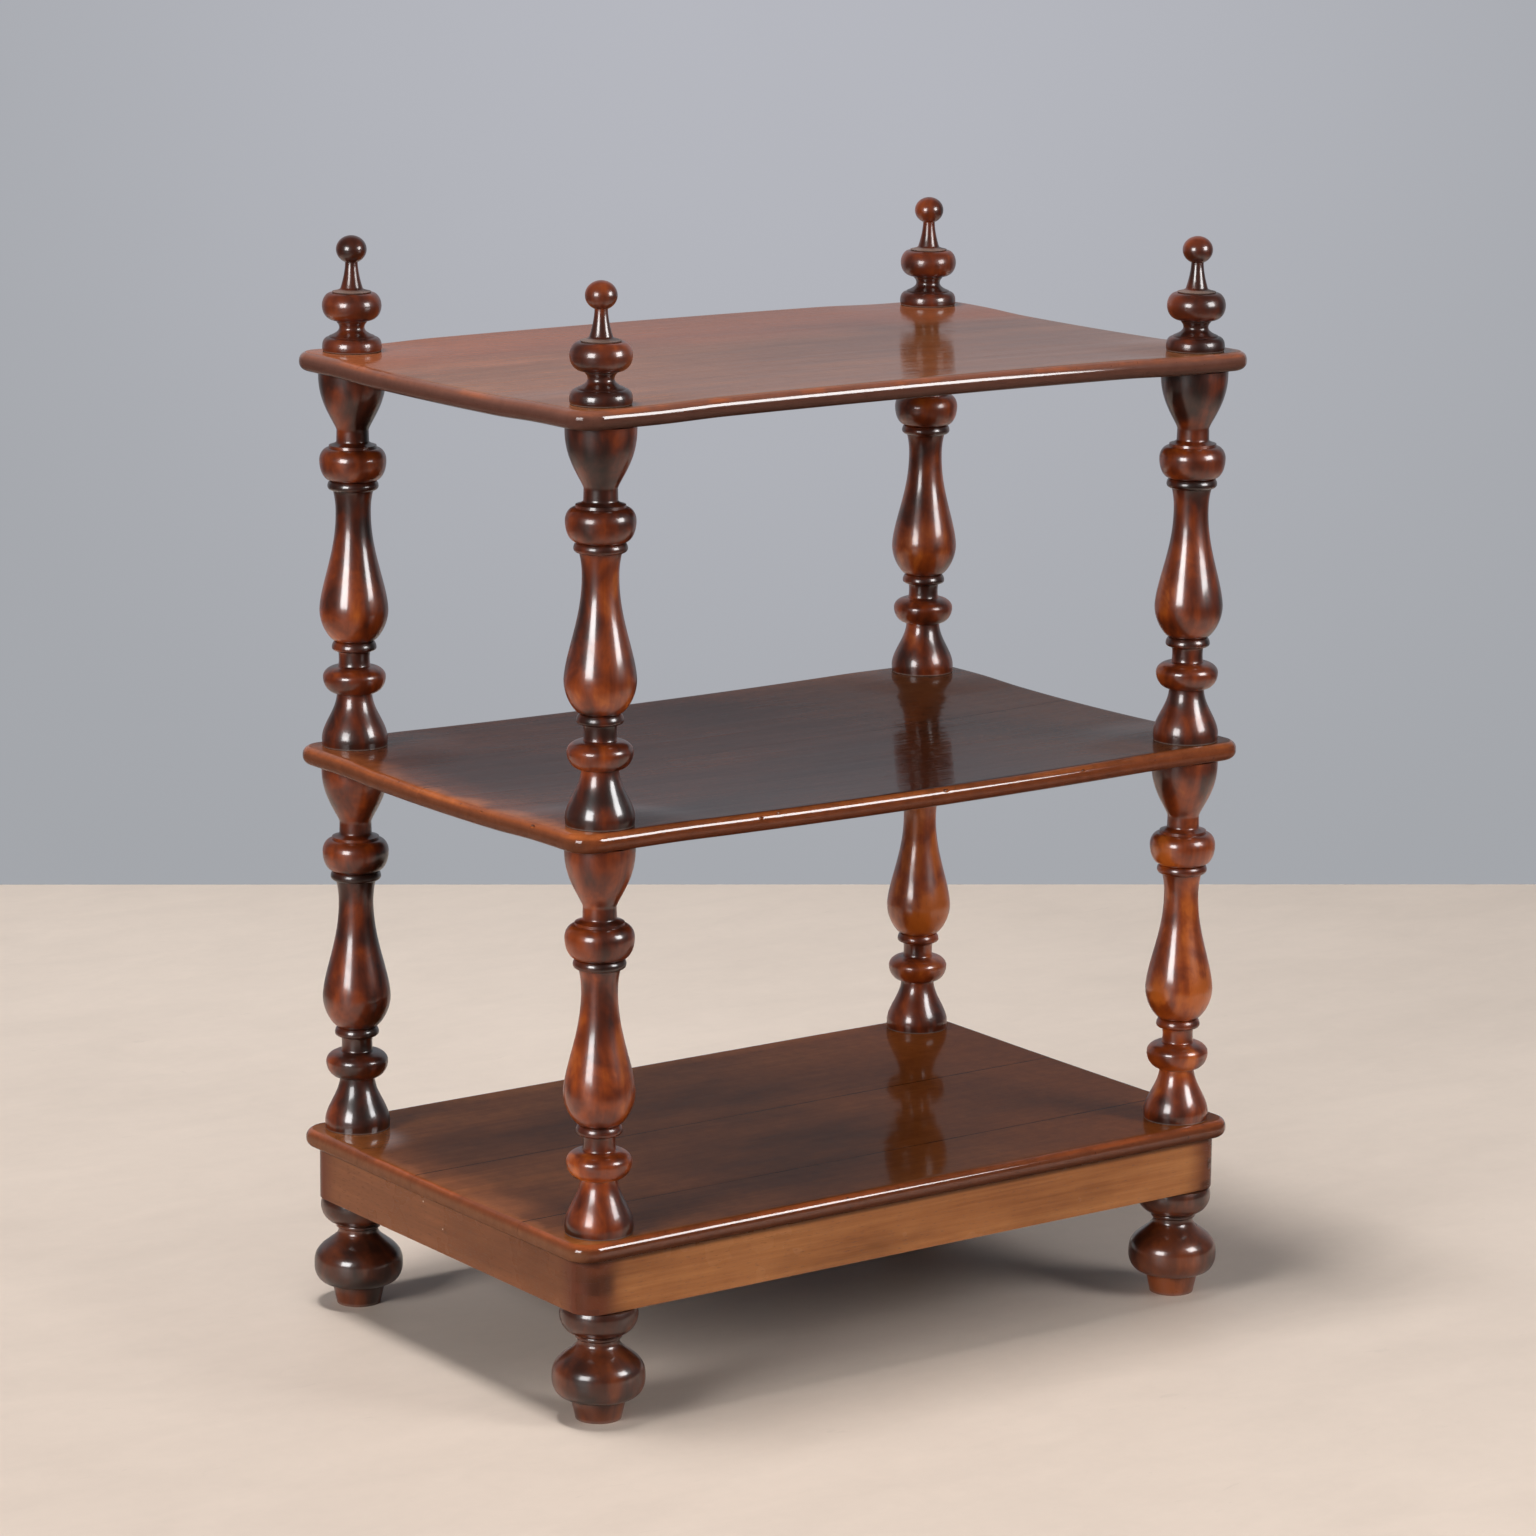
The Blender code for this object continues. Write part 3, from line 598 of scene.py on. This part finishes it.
def turnedFinish(name, polish):
    material, shader, wire = newMaterial(name)
    place = wire.node("TexCoord", {}, {}, "Object")
    tone = wire.node("Attribute", {"attribute_name": "tone"}, {}, "Fac")
    wax = wire.node("Attribute", {"attribute_name": "wax"}, {}, "Fac")
    cloud = place.noise(turnedPolish["cloud"], 2, 0.5)
    patch = place.stretched(turnedPolish["patch"]).noise(1, 3, 0.6, 0.4)
    figure = place.stretched(turnedPolish["figure"]).noise(1, 3, 0.55, 0.4)
    streak = place.stretched(turnedPolish["grain"]).noise(1, 3, 0.6)
    pores = place.stretched(turnedPolish["pores"]).noise(1, 2, 0.5).step(0.60, 0.72)
    clouds, patches, figures = turnedPolish["blend"]
    uneven = (cloud - 0.5) * clouds + (patch - 0.5) * patches + (figure - 0.5) * figures
    # the tone picks the colour; its low values in the hollows and necks are partly painted shade
    colour = (tone + uneven * polish["mottle"]).ramp(polish["stops"])
    colour = (0.91 + streak * 0.18 - pores * 0.16).shaded(colour)
    # dark specks of dirt in the hollows, which also stand in there for painted shade
    dirtAndShade = place.noise(140, 3, 0.7).step(0.60, 0.80) * (1 - tone).step(0.60, 0.90)
    colour = (dirtAndShade * 0.7).mix(colour, turnedPolish["dirtAndShadeColour"])
    colour = (wax * 0.8).mix(colour, turnedPolish["waxColour"])
    colour.into(shader, "Base Color")
    smear = place.stretched((30, 30, 60)).noise(1, 4, 0.6)
    roughness = polish["roughness"] + (smear - 0.5) * 0.14 + (1 - tone) * 0.03 + wax * 0.4
    roughness.into(shader, "Roughness")
    shader.inputs["Specular IOR Level"].default_value = turnedPolish["specular"]
    # the coat is thinned where the surface turns away from the view, a painted shade that dims the
    # reflections at the rims, and it is worn where the wood has dulled
    rim = wire.node("LayerWeight", {}, {"Blend": 0.5}, "Facing").step(0.50, 0.92)
    kept = place.stretched((16, 16, 22)).noise(1, 4, 0.65).step(0.34, 0.60)
    gloss = (1 - rim * 0.75) * (turnedPolish["leastCoat"] + kept * turnedPolish["moreCoat"])
    gloss.into(shader, "Coat Weight")
    shader.inputs["Coat Roughness"].default_value = turnedPolish["coatRoughness"]
    ripple = place.stretched((12, 12, 70)).noise(1, 2, 0.5)
    relief = streak * 0.20 + ripple * 0.6 + cloud * 0.5 - pores * 0.20
    bump = wire.node("Bump", {}, {"Strength": 0.20, "Distance": 0.0006, "Height": relief})
    bump.into(shader, "Normal")
    return material


def placeTurned(kind, slot, turning, nodes):
    # one copy of the turned shape on each node's axis
    model = turnPiece(kind + "Model", turning)
    material = turnedFinish(kind + "Polish", turnedPolish[slot])
    tall = sum(stroke[2] for stroke in turning["strokes"])
    for node in nodes:
        low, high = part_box(node)
        middle = (low + high) / 2
        # a tenon runs on below a post or a finial, so these are counted down from the top,
        # while a foot's tenon is at its top and its turning starts at the floor
        base = low.z if slot == "feet" else high.z - tall
        piece = copyOf(model, "turned_" + node, (middle.x, middle.y, base))
        shiftTone(piece, turning["warmth"].get(node.split("_", 1)[1], 0))
        finishPiece(piece, material, [node], weighted=False)
    bpy.data.objects.remove(model)


postNodes = [f"post_{tier}_{corner}" for tier in ("lower", "upper") for corner in corners]
placeTurned("post", "posts", postTurning, postNodes)
placeTurned("finial", "finials", finialTurning, ["finial_" + corner for corner in corners])
print("posts and finials are turned")

placeTurned("foot", "feet", footTurning, ["foot_" + corner for corner in corners])
print("feet are turned")


# Shelves

shelfShape = {
    "cornerRadius": 0.024, "cornerSteps": 10,
    "noseRadius": 0.0078, "noseSteps": 6,
    "grid": 0.012,        # between the cuts that let a board bend
    "seam": 0.0003,
    "postFlat": 0.034,    # flat round each post
    "postReach": 0.110,   # bent in full from here on
}

# cup is how far the middle of the depth has sunk, and sag the middle of the length,
# which has risen where it is below 0
boards = {
    "top": {"cup": 0.0023, "sag": -0.0020, "pieces": {"shelf_top": "board_top"}},
    "middle": {
        "cup": 0.0044, "sag": 0.0039,
        "pieces": {"shelf_middle_front": "board_middle_front", "shelf_middle_back": "board_middle_back"},
    },
    "bottom": {
        "cup": 0.0006, "sag": 0.0,
        "pieces": {
            "shelf_bottom_front": "board_bottom_front", "shelf_bottom_middle": "board_bottom_middle",
            "shelf_bottom_back": "board_bottom_back",
        },
    },
}

# where the middle shelf's edge has been knocked, along the front and along the left end
nicks = {
    "front": [-0.217, -0.183, -0.163, -0.043, -0.011, 0.021, 0.113, 0.178],
    "left": [0.019, -0.081, -0.163],
    "radius": 0.0021,
    "inset": 0.0005,
}


def shelfBlank(low, high):
    # one whole shelf with round corners and a round nose, cut into a grid
    blank = addBlock("shelfBlank", low, high)
    startEdit(blank)
    pickEdges(blank, lambda a, b: abs(a.z - b.z) > (high.z - low.z) / 2)
    bpy.ops.mesh.bevel(
        offset=shelfShape["cornerRadius"], segments=shelfShape["cornerSteps"], affect="EDGES")
    pickEdges(blank, lambda a, b: abs(a.z - b.z) < shelfShape["seam"])
    bpy.ops.mesh.bevel(offset=shelfShape["noseRadius"], segments=shelfShape["noseSteps"], affect="EDGES")
    for axis in (0, 1):
        count = round((high[axis] - low[axis]) / shelfShape["grid"])
        direction = [0, 0, 0]
        direction[axis] = 1
        for k in range(1, count):
            point = Vector(low)
            point[axis] += (high[axis] - low[axis]) * k / count
            bpy.ops.mesh.select_all(action="SELECT")
            bpy.ops.mesh.bisect(plane_co=point, plane_no=direction)
    endEdit()
    return blank


def trimBoard(board, edge, side):
    # cuts the shelf off square at a seam and closes the cut
    startEdit(board)
    bpy.ops.mesh.bisect(
        plane_co=(0, edge, 0), plane_no=(0, side, 0), clear_outer=True, use_fill=True)
    endEdit()


def bendBoard(board, shelf):
    # the boards have cupped and sagged, but lie flat on every post
    boxes = [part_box("post_upper_" + corner) for corner in corners]
    posts = [((low + high) / 2).xy for low, high in boxes]
    halfLong, halfDeep = posts[corners.index("back_right")]
    flat, reach = shelfShape["postFlat"], shelfShape["postReach"]
    for vert in board.data.vertices:
        x, y = vert.co.xy
        nearest = min((vert.co.xy - post).length for post in posts)
        free = min(max((nearest - flat) / (reach - flat), 0), 1)
        free = free * free * (3 - 2 * free)
        cup = shelf["cup"] * ((y / halfDeep) ** 2 - 1)
        sag = shelf["sag"] * ((x / halfLong) ** 2 - 1)
        vert.co.z += free * (cup + sag)


def nickBoard(board, edge, low, high):
    # small knocks out of the nose, each a little different in depth, level and size
    deselectAll()
    cutters = []
    for count, place in enumerate(nicks[edge]):
        inset = nicks["inset"] * (count % 3)
        level = (low.z + high.z) / 2 + (high.z - low.z) * (0.30 - 0.12 * (count % 2))
        spot = (place, low.y + inset, level) if edge == "front" else (low.x + inset, place, level)
        radius = nicks["radius"] * (0.6 + 0.25 * (count % 3))
        bpy.ops.mesh.primitive_ico_sphere_add(subdivisions=2, radius=radius, location=spot)
        bpy.ops.transform.resize(value=(1.5, 1, 0.8) if edge == "front" else (1, 1.5, 0.8))
        cutters.append(bpy.context.object)
    for cutter in cutters:
        cutter.select_set(True)
    bpy.ops.object.join()
    joined = bpy.context.object
    bpy.ops.object.transform_apply(location=True, rotation=True, scale=True)
    cutWith(board, joined, "DIFFERENCE")


# blend is how much the clouds, the figure and the fine grain each change the tone. warmFrom is the
# axis and the stretch along it where the warmer colour comes in, and leftLift lightens the left side.
# endWear is how far the polish has gone from the left end, and endLobe a worn spot there and its
# reach. endUnder is the colour below that end's nose, where the edge is less rubbed by endDull.
boardPolish = {
    "top": {
        "stops": [
            (0.0, (0.082, 0.023, 0.008)), (0.35, (0.137, 0.045, 0.016)), (0.6, (0.180, 0.061, 0.022)),
            (1.0, (0.262, 0.096, 0.036)),
        ],
        "blend": (1.0, 1.1, 0.45),
        "warmColour": (0.240, 0.062, 0.022, 1), "warmFrom": (1, 0.02, 0.14), "warmth": 0.6,
        "leftLift": 0.30,
        "nose": (0.170, 0.066, 0.044, 1), "noseShadedUnder": (0.085, 0.038, 0.027, 1),
        "worn": (0.380, 0.100, 0.032, 1), "wear": 0.35,
        "endLobe": ((-0.375, -0.20, 0.896), 0.03), "endWear": 0.004, "endDull": 0.4,
        "endWorn": (0.22, 0.075, 0.040, 1), "endUnder": (0.110, 0.046, 0.033, 1),
        "specular": 0.030, "roughness": 0.075, "relief": 0.26, "mottle": 0.45,
    },
    "middle": {
        "stops": [
            (0.0, (0.034, 0.009, 0.004)), (0.35, (0.060, 0.016, 0.007)), (0.6, (0.092, 0.025, 0.010)),
            (1.0, (0.155, 0.045, 0.018)),
        ],
        "blend": (1.5, 0.6, 0.30),
        # on this shelf the warmer colour to the right is partly the wood's own and partly a painted sheen
        "warmColour": (0.210, 0.072, 0.026, 1), "warmFrom": (0, 0.04, 0.30), "warmth": 0.5,
        "leftLift": 0.60,
        "nose": (0.225, 0.056, 0.018, 1), "noseShadedUnder": (0.115, 0.032, 0.014, 1),
        "worn": (0.430, 0.112, 0.027, 1), "wear": 0.55,
        "endLobe": ((-0.375, -0.12, 0.531), 0.05), "endWear": 0.021, "endDull": 0.0,
        "endWorn": (0.38, 0.110, 0.032, 1), "endUnder": (0.130, 0.045, 0.022, 1),
        "specular": 0.030, "roughness": 0.060, "relief": 0.34, "mottle": 0.90,
    },
    "bottom": {
        "stops": [
            (0.0, (0.060, 0.017, 0.005)), (0.35, (0.116, 0.034, 0.009)), (0.6, (0.164, 0.049, 0.013)),
            (1.0, (0.250, 0.080, 0.021)),
        ],
        "blend": (1.9, 0.45, 0.25),
        "warmColour": (0.280, 0.072, 0.015, 1), "warmFrom": (0, -0.02, 0.32), "warmth": 0.6,
        "leftLift": 0.25,
        "nose": (0.155, 0.042, 0.016, 1), "noseShadedUnder": (0.085, 0.030, 0.016, 1),
        "worn": (0.370, 0.085, 0.022, 1), "wear": 0.60,
        "endLobe": ((-0.370, -0.085, 0.170), 0.075), "endWear": 0.010, "endDull": 0.7,
        "endWorn": (0.270, 0.085, 0.028, 1), "endUnder": (0.190, 0.078, 0.038, 1),
        "specular": 0.0175, "roughness": 0.055, "relief": 0.22, "mottle": 0.70,
        # fresh polish is left beside the back left post: place, reach, how much
        "freshSpot": ((-0.350, 0.163, 0.1704), 0.060, 0.9),
    },
}

boardDetail = {
    # how often each marking repeats in a metre, along, across and through the boards
    "cloud": (3.5, 7, 7), "figure": (2.2, 26, 26), "grain": (6, 210, 210), "pores": (55, 1300, 1300),
    "seamWidth": 0.0013, "seamColour": (0.012, 0.006, 0.004, 1), "seamDepth": 0.85,
    "bruiseColour": (0.030, 0.012, 0.008, 1),
    "underColour": (0.050, 0.024, 0.014, 1),
    "coatRoughness": 0.06,
}


def boardFinish(name, polish, low, seams):
    material, shader, wire = newMaterial(name)
    place = wire.node("TexCoord", {}, {}, "Object")
    facing = wire.node("TexCoord", {}, {}, "Normal")
    upright = facing.axis(2)
    cloud = place.stretched(boardDetail["cloud"]).noise(1, 4, 0.55)
    figure = place.stretched(boardDetail["figure"]).noise(1, 4, 0.62, 0.35)
    streak = place.stretched(boardDetail["grain"]).noise(1, 4, 0.65)
    pores = place.stretched(boardDetail["pores"]).noise(1, 2, 0.5).step(0.60, 0.70)
    clouds, figures, streaks = polish["blend"]
    tone = 0.5 + (cloud - 0.5) * clouds + (figure - 0.5) * figures + (streak - 0.5) * streaks
    colour = tone.ramp(polish["stops"])
    side, warmLow, warmHigh = polish["warmFrom"]
    warm = (place.axis(side) + (cloud - 0.5) * 0.2).step(warmLow, warmHigh)
    colour = (warm * polish["warmth"]).mix(colour, polish["warmColour"])
    colour = (1 + (1 - place.axis(0).step(-0.34, 0.08)) * polish["leftLift"]).shaded(colour)
    # the polish has gone from the left end, in an uneven band
    blot = place.stretched((14, 14, 14)).noise(1, 4, 0.6)
    ragged = (cloud - 0.5) * 0.05 + (blot - 0.5) * 0.06
    bare = 1 - (place.axis(0) - low.x + ragged).step(polish["endWear"] * 0.35, polish["endWear"] * 1.5)
    bare = bare * (1 - place.axis(1).step(-0.06, 0.15) * 0.65)
    spot, reach = polish["endLobe"]
    bare = bare + (1 - bare) * (place.nearness(spot, reach) + (blot - 0.5) * 0.8).step(0.25, 0.80) * 0.7
    colour = (bare * 0.85).mix(colour, polish["endWorn"])
    # the nose is rubbed through along its upper edge, and its lower half, which faces down, is painted
    # darker as shade
    nose = upright.step(-0.80, 0.40).mix(polish["noseShadedUnder"], polish["nose"])
    leftward = 0 - facing.axis(0)
    edge = upright.step(0.30, 0.70) * (1 - upright.step(0.94, 0.995))
    edge = edge * (1 - leftward.step(0.4, 0.9) * polish["endDull"])
    wear = polish["wear"]
    rubbed = place.stretched((9, 9, 30)).noise(1, 4, 0.6).step(0.60 - wear * 0.3, 0.72 - wear * 0.25)
    nose = (edge * (wear * 0.5 + rubbed * 0.6)).mix(nose, polish["worn"])
    bruise = place.noise(230, 3, 0.6).step(0.66, 0.74)
    nose = (bruise * 0.7).mix(nose, boardDetail["bruiseColour"])
    flat = upright.step(0.93, 0.99)
    dull = leftward.step(0.3, 0.8) * (1 - upright.step(0.05, 0.60))
    nose = (dull * 0.8).mix(nose, polish["endUnder"])
    colour = flat.mix(nose, colour)
    # the glue line between two boards has gone dark
    seamWidth = boardDetail["seamWidth"]
    for seam in seams:
        gap = (place.axis(1) + (streak - 0.5) * 0.0006 - seam).size()
        line = (1 - gap.step(seamWidth * 0.4, seamWidth)) * (0.1 + blot * 1.8)
        colour = (line * boardDetail["seamDepth"] * flat).mix(colour, boardDetail["seamColour"])
    speck = place.noise(75, 5, 0.72)
    colour = (0.88 + streak * 0.24 - pores * 0.20).shaded(colour)
    colour = (1 + (speck - 0.5) * polish["mottle"]).shaded(colour)
    under = (0 - upright).step(0.80, 0.99)
    colour = (under * 0.7).mix(colour, boardDetail["underColour"])
    colour.into(shader, "Base Color")
    smear = place.stretched((9, 14, 14)).noise(1, 4, 0.6)
    roughness = polish["roughness"] + (smear - 0.5) * 0.07 + (speck - 0.5) * polish["mottle"] * 0.10
    roughness = roughness + bare * 0.05 + pores * 0.08 + under * 0.35
    roughness.into(shader, "Roughness")
    # the faces have dulled, while hands keep the nose bright
    shader.inputs["Specular IOR Level"].default_value = polish["specular"]
    gloss = (1 - flat) * upright.step(-0.45, 0.10) * (1 - dull * 0.75)
    if "freshSpot" in polish:
        spot, reach, amount = polish["freshSpot"]
        gloss = gloss + flat * place.nearness(spot, reach).step(0, 0.7) * amount
    gloss.into(shader, "Coat Weight")
    shader.inputs["Coat Roughness"].default_value = boardDetail["coatRoughness"]
    ripple = place.stretched((3, 55, 55)).noise(1, 3, 0.5)
    relief = streak * 0.25 + ripple * 0.9 + cloud * 0.8 - pores * 0.12
    bump = wire.node("Bump", {}, {"Strength": polish["relief"], "Distance": 0.0008, "Height": relief})
    bump.into(shader, "Normal")
    return material


def layShelf(blank, shelfName, shelf):
    nodes = list(shelf["pieces"])
    boxes = [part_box(node) for node in nodes]
    low = Vector(boxes[0][0])
    high = Vector(boxes[-1][1])
    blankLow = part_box("shelf_top")[0]
    seams = [boardHigh.y for _, boardHigh in boxes[:-1]]
    material = boardFinish(shelfName + "Polish", boardPolish[shelfName], low, seams)
    for node, (boardLow, boardHigh) in zip(nodes, boxes):
        board = copyOf(blank, shelf["pieces"][node], (0, 0, low.z - blankLow.z))
        if boardLow.y > low.y + shelfShape["seam"]:
            trimBoard(board, boardLow.y, -1)
        if boardHigh.y < high.y - shelfShape["seam"]:
            trimBoard(board, boardHigh.y, 1)
        bendBoard(board, shelf)
        if node == "shelf_middle_front":
            nickBoard(board, "front", boardLow, boardHigh)
            nickBoard(board, "left", boardLow, boardHigh)
        finishPiece(board, material, [node])


shelfBlankModel = shelfBlank(*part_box("shelf_top"))
for shelfName, shelf in boards.items():
    layShelf(shelfBlankModel, shelfName, shelf)
bpy.data.objects.remove(shelfBlankModel)
print("shelves are laid")


# Apron

railShape = {
    "cornerRadius": 0.023, "cornerSteps": 14,
    "edgeRound": 0.0007,
    "tails": 2, "tailEnd": 0.0155, "tailRoot": 0.0115,
    "play": 0.00008,
    "overrun": 0.004,
}

railPolish = {
    "long": {
        "grain": (7, 230, 230), "figure": (2.5, 34, 34), "fleck": (120, 1000, 1000), "endAxis": 0,
        "stops": [
            (0.0, (0.180, 0.060, 0.022)), (0.4, (0.330, 0.124, 0.042)), (0.65, (0.420, 0.170, 0.060)),
            (1.0, (0.540, 0.240, 0.092)),
        ],
        "roughness": 0.26,
    },
    "side": {
        "grain": (230, 7, 230), "figure": (34, 2.5, 34), "fleck": (1000, 120, 1000), "endAxis": 1,
        "stops": [
            (0.0, (0.105, 0.036, 0.015)), (0.4, (0.175, 0.062, 0.026)), (0.65, (0.215, 0.078, 0.033)),
            (1.0, (0.280, 0.110, 0.048)),
        ],
        "roughness": 0.28,
    },
    "specular": 0.14,
    "cornerColour": (0.125, 0.034, 0.018, 1),
    "cornerReach": 0.046,  # how far the darkened corner runs along each rail
    # dark grime for the end grain and its patches, also used for the painted shadow under the shelf
    "grimeAndShadeColour": (0.050, 0.018, 0.010, 1),
    "smokeColour": (0.080, 0.026, 0.012, 1),
    "chipColour": (0.75, 0.62, 0.50, 1), "chipReach": 0.0013,
}

# dark end grain in the front rail: middle across, middle up, half width, half height
railPatches = [
    (-0.345, 0.131, 0.012, 0.010), (0.349, 0.128, 0.004, 0.0042), (0.345, 0.1075, 0.008, 0.0048),
]

# pale chips in the polish of the left rail
railChips = [
    (-0.363, 0.033, 0.145), (-0.363, 0.0, 0.127), (-0.363, -0.142, 0.156), (-0.363, -0.075, 0.159),
]


def apronBox():
    low = Vector((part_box("apron_left")[0].x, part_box("apron_front")[0].y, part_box("apron_front")[0].z))
    high = Vector((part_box("apron_right")[1].x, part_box("apron_back")[1].y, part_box("apron_front")[1].z))
    return low, high


def railThickness():
    low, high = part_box("apron_back")
    return high.y - low.y


def apronOutline():
    # the rounded block that all four rails are cut to
    low, high = apronBox()
    outline = addBlock("apronOutline", low, high)
    startEdit(outline)
    pickEdges(outline, lambda a, b: abs(a.z - b.z) > (high.z - low.z) / 2)
    bpy.ops.mesh.bevel(
        offset=railShape["cornerRadius"], segments=railShape["cornerSteps"], affect="EDGES")
    pickEdges(outline, lambda a, b: max(a.z, b.z) < low.z + railShape["edgeRound"])
    bpy.ops.mesh.bevel(offset=railShape["edgeRound"], segments=2, affect="EDGES")
    endEdit()
    return outline


def addTail(side, end, count, play):
    # a dovetail that widens towards the end of the rail
    low, high = apronBox()
    thick, over = railThickness(), railShape["overrun"]
    pitch = (high.z - low.z) / railShape["tails"]
    level = low.z + pitch * (count + 0.5)
    half = railShape["tailEnd"] / 2
    outer = high.x if side > 0 else low.x
    face = high.y if end > 0 else low.y
    xs = sorted((outer + side * over, outer - side * (thick + over)))
    ys = sorted((face + end * over, face - end * (thick + play)))
    tail = addBlock("tail", (xs[0], ys[0], level - half - play), (xs[1], ys[1], level + half + play))
    startEdit(tail)
    pickEdges(tail, lambda a, b: max(a.x * side, b.x * side) < outer * side - thick)
    narrow = (railShape["tailRoot"] + 2 * play) / (railShape["tailEnd"] + 2 * play)
    bpy.ops.transform.resize(value=(1, 1, narrow), center_override=(0, 0, level))
    endEdit()
    return tail


def railFinish(name, polish):
    low, high = apronBox()
    material, shader, wire = newMaterial(name)
    place = wire.node("TexCoord", {}, {}, "Object")
    facing = wire.node("TexCoord", {}, {}, "Normal")
    cloud = place.noise(9, 4, 0.6)
    figure = place.stretched(polish["figure"]).noise(1, 4, 0.6, 0.4)
    streak = place.stretched(polish["grain"]).noise(1, 4, 0.65)
    fleck = place.stretched(polish["fleck"]).noise(1, 2, 0.5).step(0.58, 0.70)
    tone = 0.5 + (cloud - 0.5) * 0.55 + (figure - 0.5) * 0.8 + (streak - 0.5) * 0.5
    colour = tone.ramp(polish["stops"])
    colour = (0.94 + streak * 0.22 - fleck * 0.34).shaded(colour)
    # years of hands and polish have darkened the corners, end grain and all
    reach = railPolish["cornerReach"]
    uneven = (cloud - 0.5) * 0.02
    corner = (place.axis(0).size() + uneven).step(high.x - reach, high.x - reach * 0.35)
    corner = corner * (place.axis(1).size() + uneven).step(high.y - reach, high.y - reach * 0.35)
    along = facing.axis(polish["endAxis"])
    endGrain = (along * along).step(0.05, 0.90)
    colour = (corner * 0.92).mix(colour, railPolish["cornerColour"])
    colour = (endGrain * 0.30).mix(colour, railPolish["grimeAndShadeColour"])
    # smoky in patches, with a painted shadow along the top edge under the shelf
    smoke = place.stretched((5, 5, 18)).noise(1, 4, 0.6).step(0.50, 0.72)
    colour = (smoke * 0.35).mix(colour, railPolish["smokeColour"])
    shadeUnderShelf = (place.axis(2) + (streak - 0.5) * 0.002).step(high.z - 0.0045, high.z - 0.0010)
    colour = (shadeUnderShelf * 0.7).mix(colour, railPolish["grimeAndShadeColour"])
    inFront = (0 - place.axis(1)).step(-low.y - 0.030, -low.y - 0.028)
    for across, up, halfWide, halfTall in railPatches:
        beside = 1 - (place.axis(0) + uneven * 0.3 - across).size().step(halfWide * 0.5, halfWide * 1.4)
        level = 1 - (place.axis(2) + uneven * 0.3 - up).size().step(halfTall * 0.5, halfTall * 1.4)
        colour = (beside * level * inFront * 0.6).mix(colour, railPolish["grimeAndShadeColour"])
    for chip in railChips:
        chipped = place.nearness(chip, railPolish["chipReach"]).step(0.2, 0.6)
        colour = chipped.mix(colour, railPolish["chipColour"])
    colour.into(shader, "Base Color")
    roughness = polish["roughness"] + (cloud - 0.5) * 0.12 + fleck * 0.10
    roughness.into(shader, "Roughness")
    shader.inputs["Specular IOR Level"].default_value = railPolish["specular"]
    relief = streak * 0.4 + cloud * 0.8 - fleck * 0.3
    bump = wire.node("Bump", {}, {"Strength": 0.3, "Distance": 0.0006, "Height": relief})
    bump.into(shader, "Normal")
    return material


def addLongRail(name, node, end, outline, material):
    # front or back rail, which carries the tails
    low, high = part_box(node)
    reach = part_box("apron_right")[1].x - railThickness()
    over = railShape["overrun"]
    ys = (low.y, high.y + over) if end > 0 else (low.y - over, high.y)
    rail = addBlock(name, (-reach, ys[0], low.z), (reach, ys[1], high.z))
    for side in (-1, 1):
        for count in range(railShape["tails"]):
            cutWith(rail, addTail(side, end, count, 0), "UNION")
    cutWith(rail, copyOf(outline, "railOutline"), "INTERSECT")
    finishPiece(rail, material, [node])


def addSideRail(name, node, side, outline, material):
    # left or right rail, whose pins stand between the tails
    low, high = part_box(node)
    over = railShape["overrun"]
    xs = (low.x - over, high.x) if side < 0 else (low.x, high.x + over)
    rail = addBlock(name, (xs[0], low.y - over, low.z), (xs[1], high.y + over, high.z))
    for end in (-1, 1):
        for count in range(railShape["tails"]):
            cutWith(rail, addTail(side, end, count, railShape["play"]), "DIFFERENCE")
    cutWith(rail, copyOf(outline, "railOutline"), "INTERSECT")
    finishPiece(rail, material, [node])


apronOutlineModel = apronOutline()
longFinish = railFinish("longRailPolish", railPolish["long"])
sideFinish = railFinish("sideRailPolish", railPolish["side"])
addLongRail("rail_front", "apron_front", -1, apronOutlineModel, longFinish)
addLongRail("rail_back", "apron_back", 1, apronOutlineModel, longFinish)
addSideRail("rail_left", "apron_left", -1, apronOutlineModel, sideFinish)
addSideRail("rail_right", "apron_right", 1, apronOutlineModel, sideFinish)
bpy.data.objects.remove(apronOutlineModel)
print("apron is joined")


# Corner blocks keep their solids and get plain, unpolished wood

blockWood = {
    "figure": (60, 60, 5), "grain": (420, 420, 18),
    "stops": [(0.0, (0.110, 0.048, 0.026)), (0.5, (0.190, 0.090, 0.050)), (1.0, (0.300, 0.160, 0.090))],
    "dustColour": (0.20, 0.17, 0.14, 1),
    "roughness": 0.62,
}


def blockFinish():
    material, shader, wire = newMaterial("blockWood")
    place = wire.node("TexCoord", {}, {}, "Object")
    figure = place.stretched(blockWood["figure"]).noise(1, 4, 0.6, 0.4)
    streak = place.stretched(blockWood["grain"]).noise(1, 3, 0.6)
    colour = (figure * 0.8 + streak * 0.2).ramp(blockWood["stops"])
    dust = place.noise(25, 4, 0.6).step(0.5, 0.8)
    (dust * 0.35).mix(colour, blockWood["dustColour"]).into(shader, "Base Color")
    (blockWood["roughness"] + streak * 0.2).into(shader, "Roughness")
    relief = streak * 0.6 + figure
    bump = wire.node("Bump", {}, {"Strength": 0.5, "Distance": 0.0006, "Height": relief})
    bump.into(shader, "Normal")
    return material


plainWood = blockFinish()
for corner in corners:
    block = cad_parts["corner_block_" + corner]
    block.data.materials.clear()
    block.data.materials.append(plainWood)
print("corner blocks have their wood")
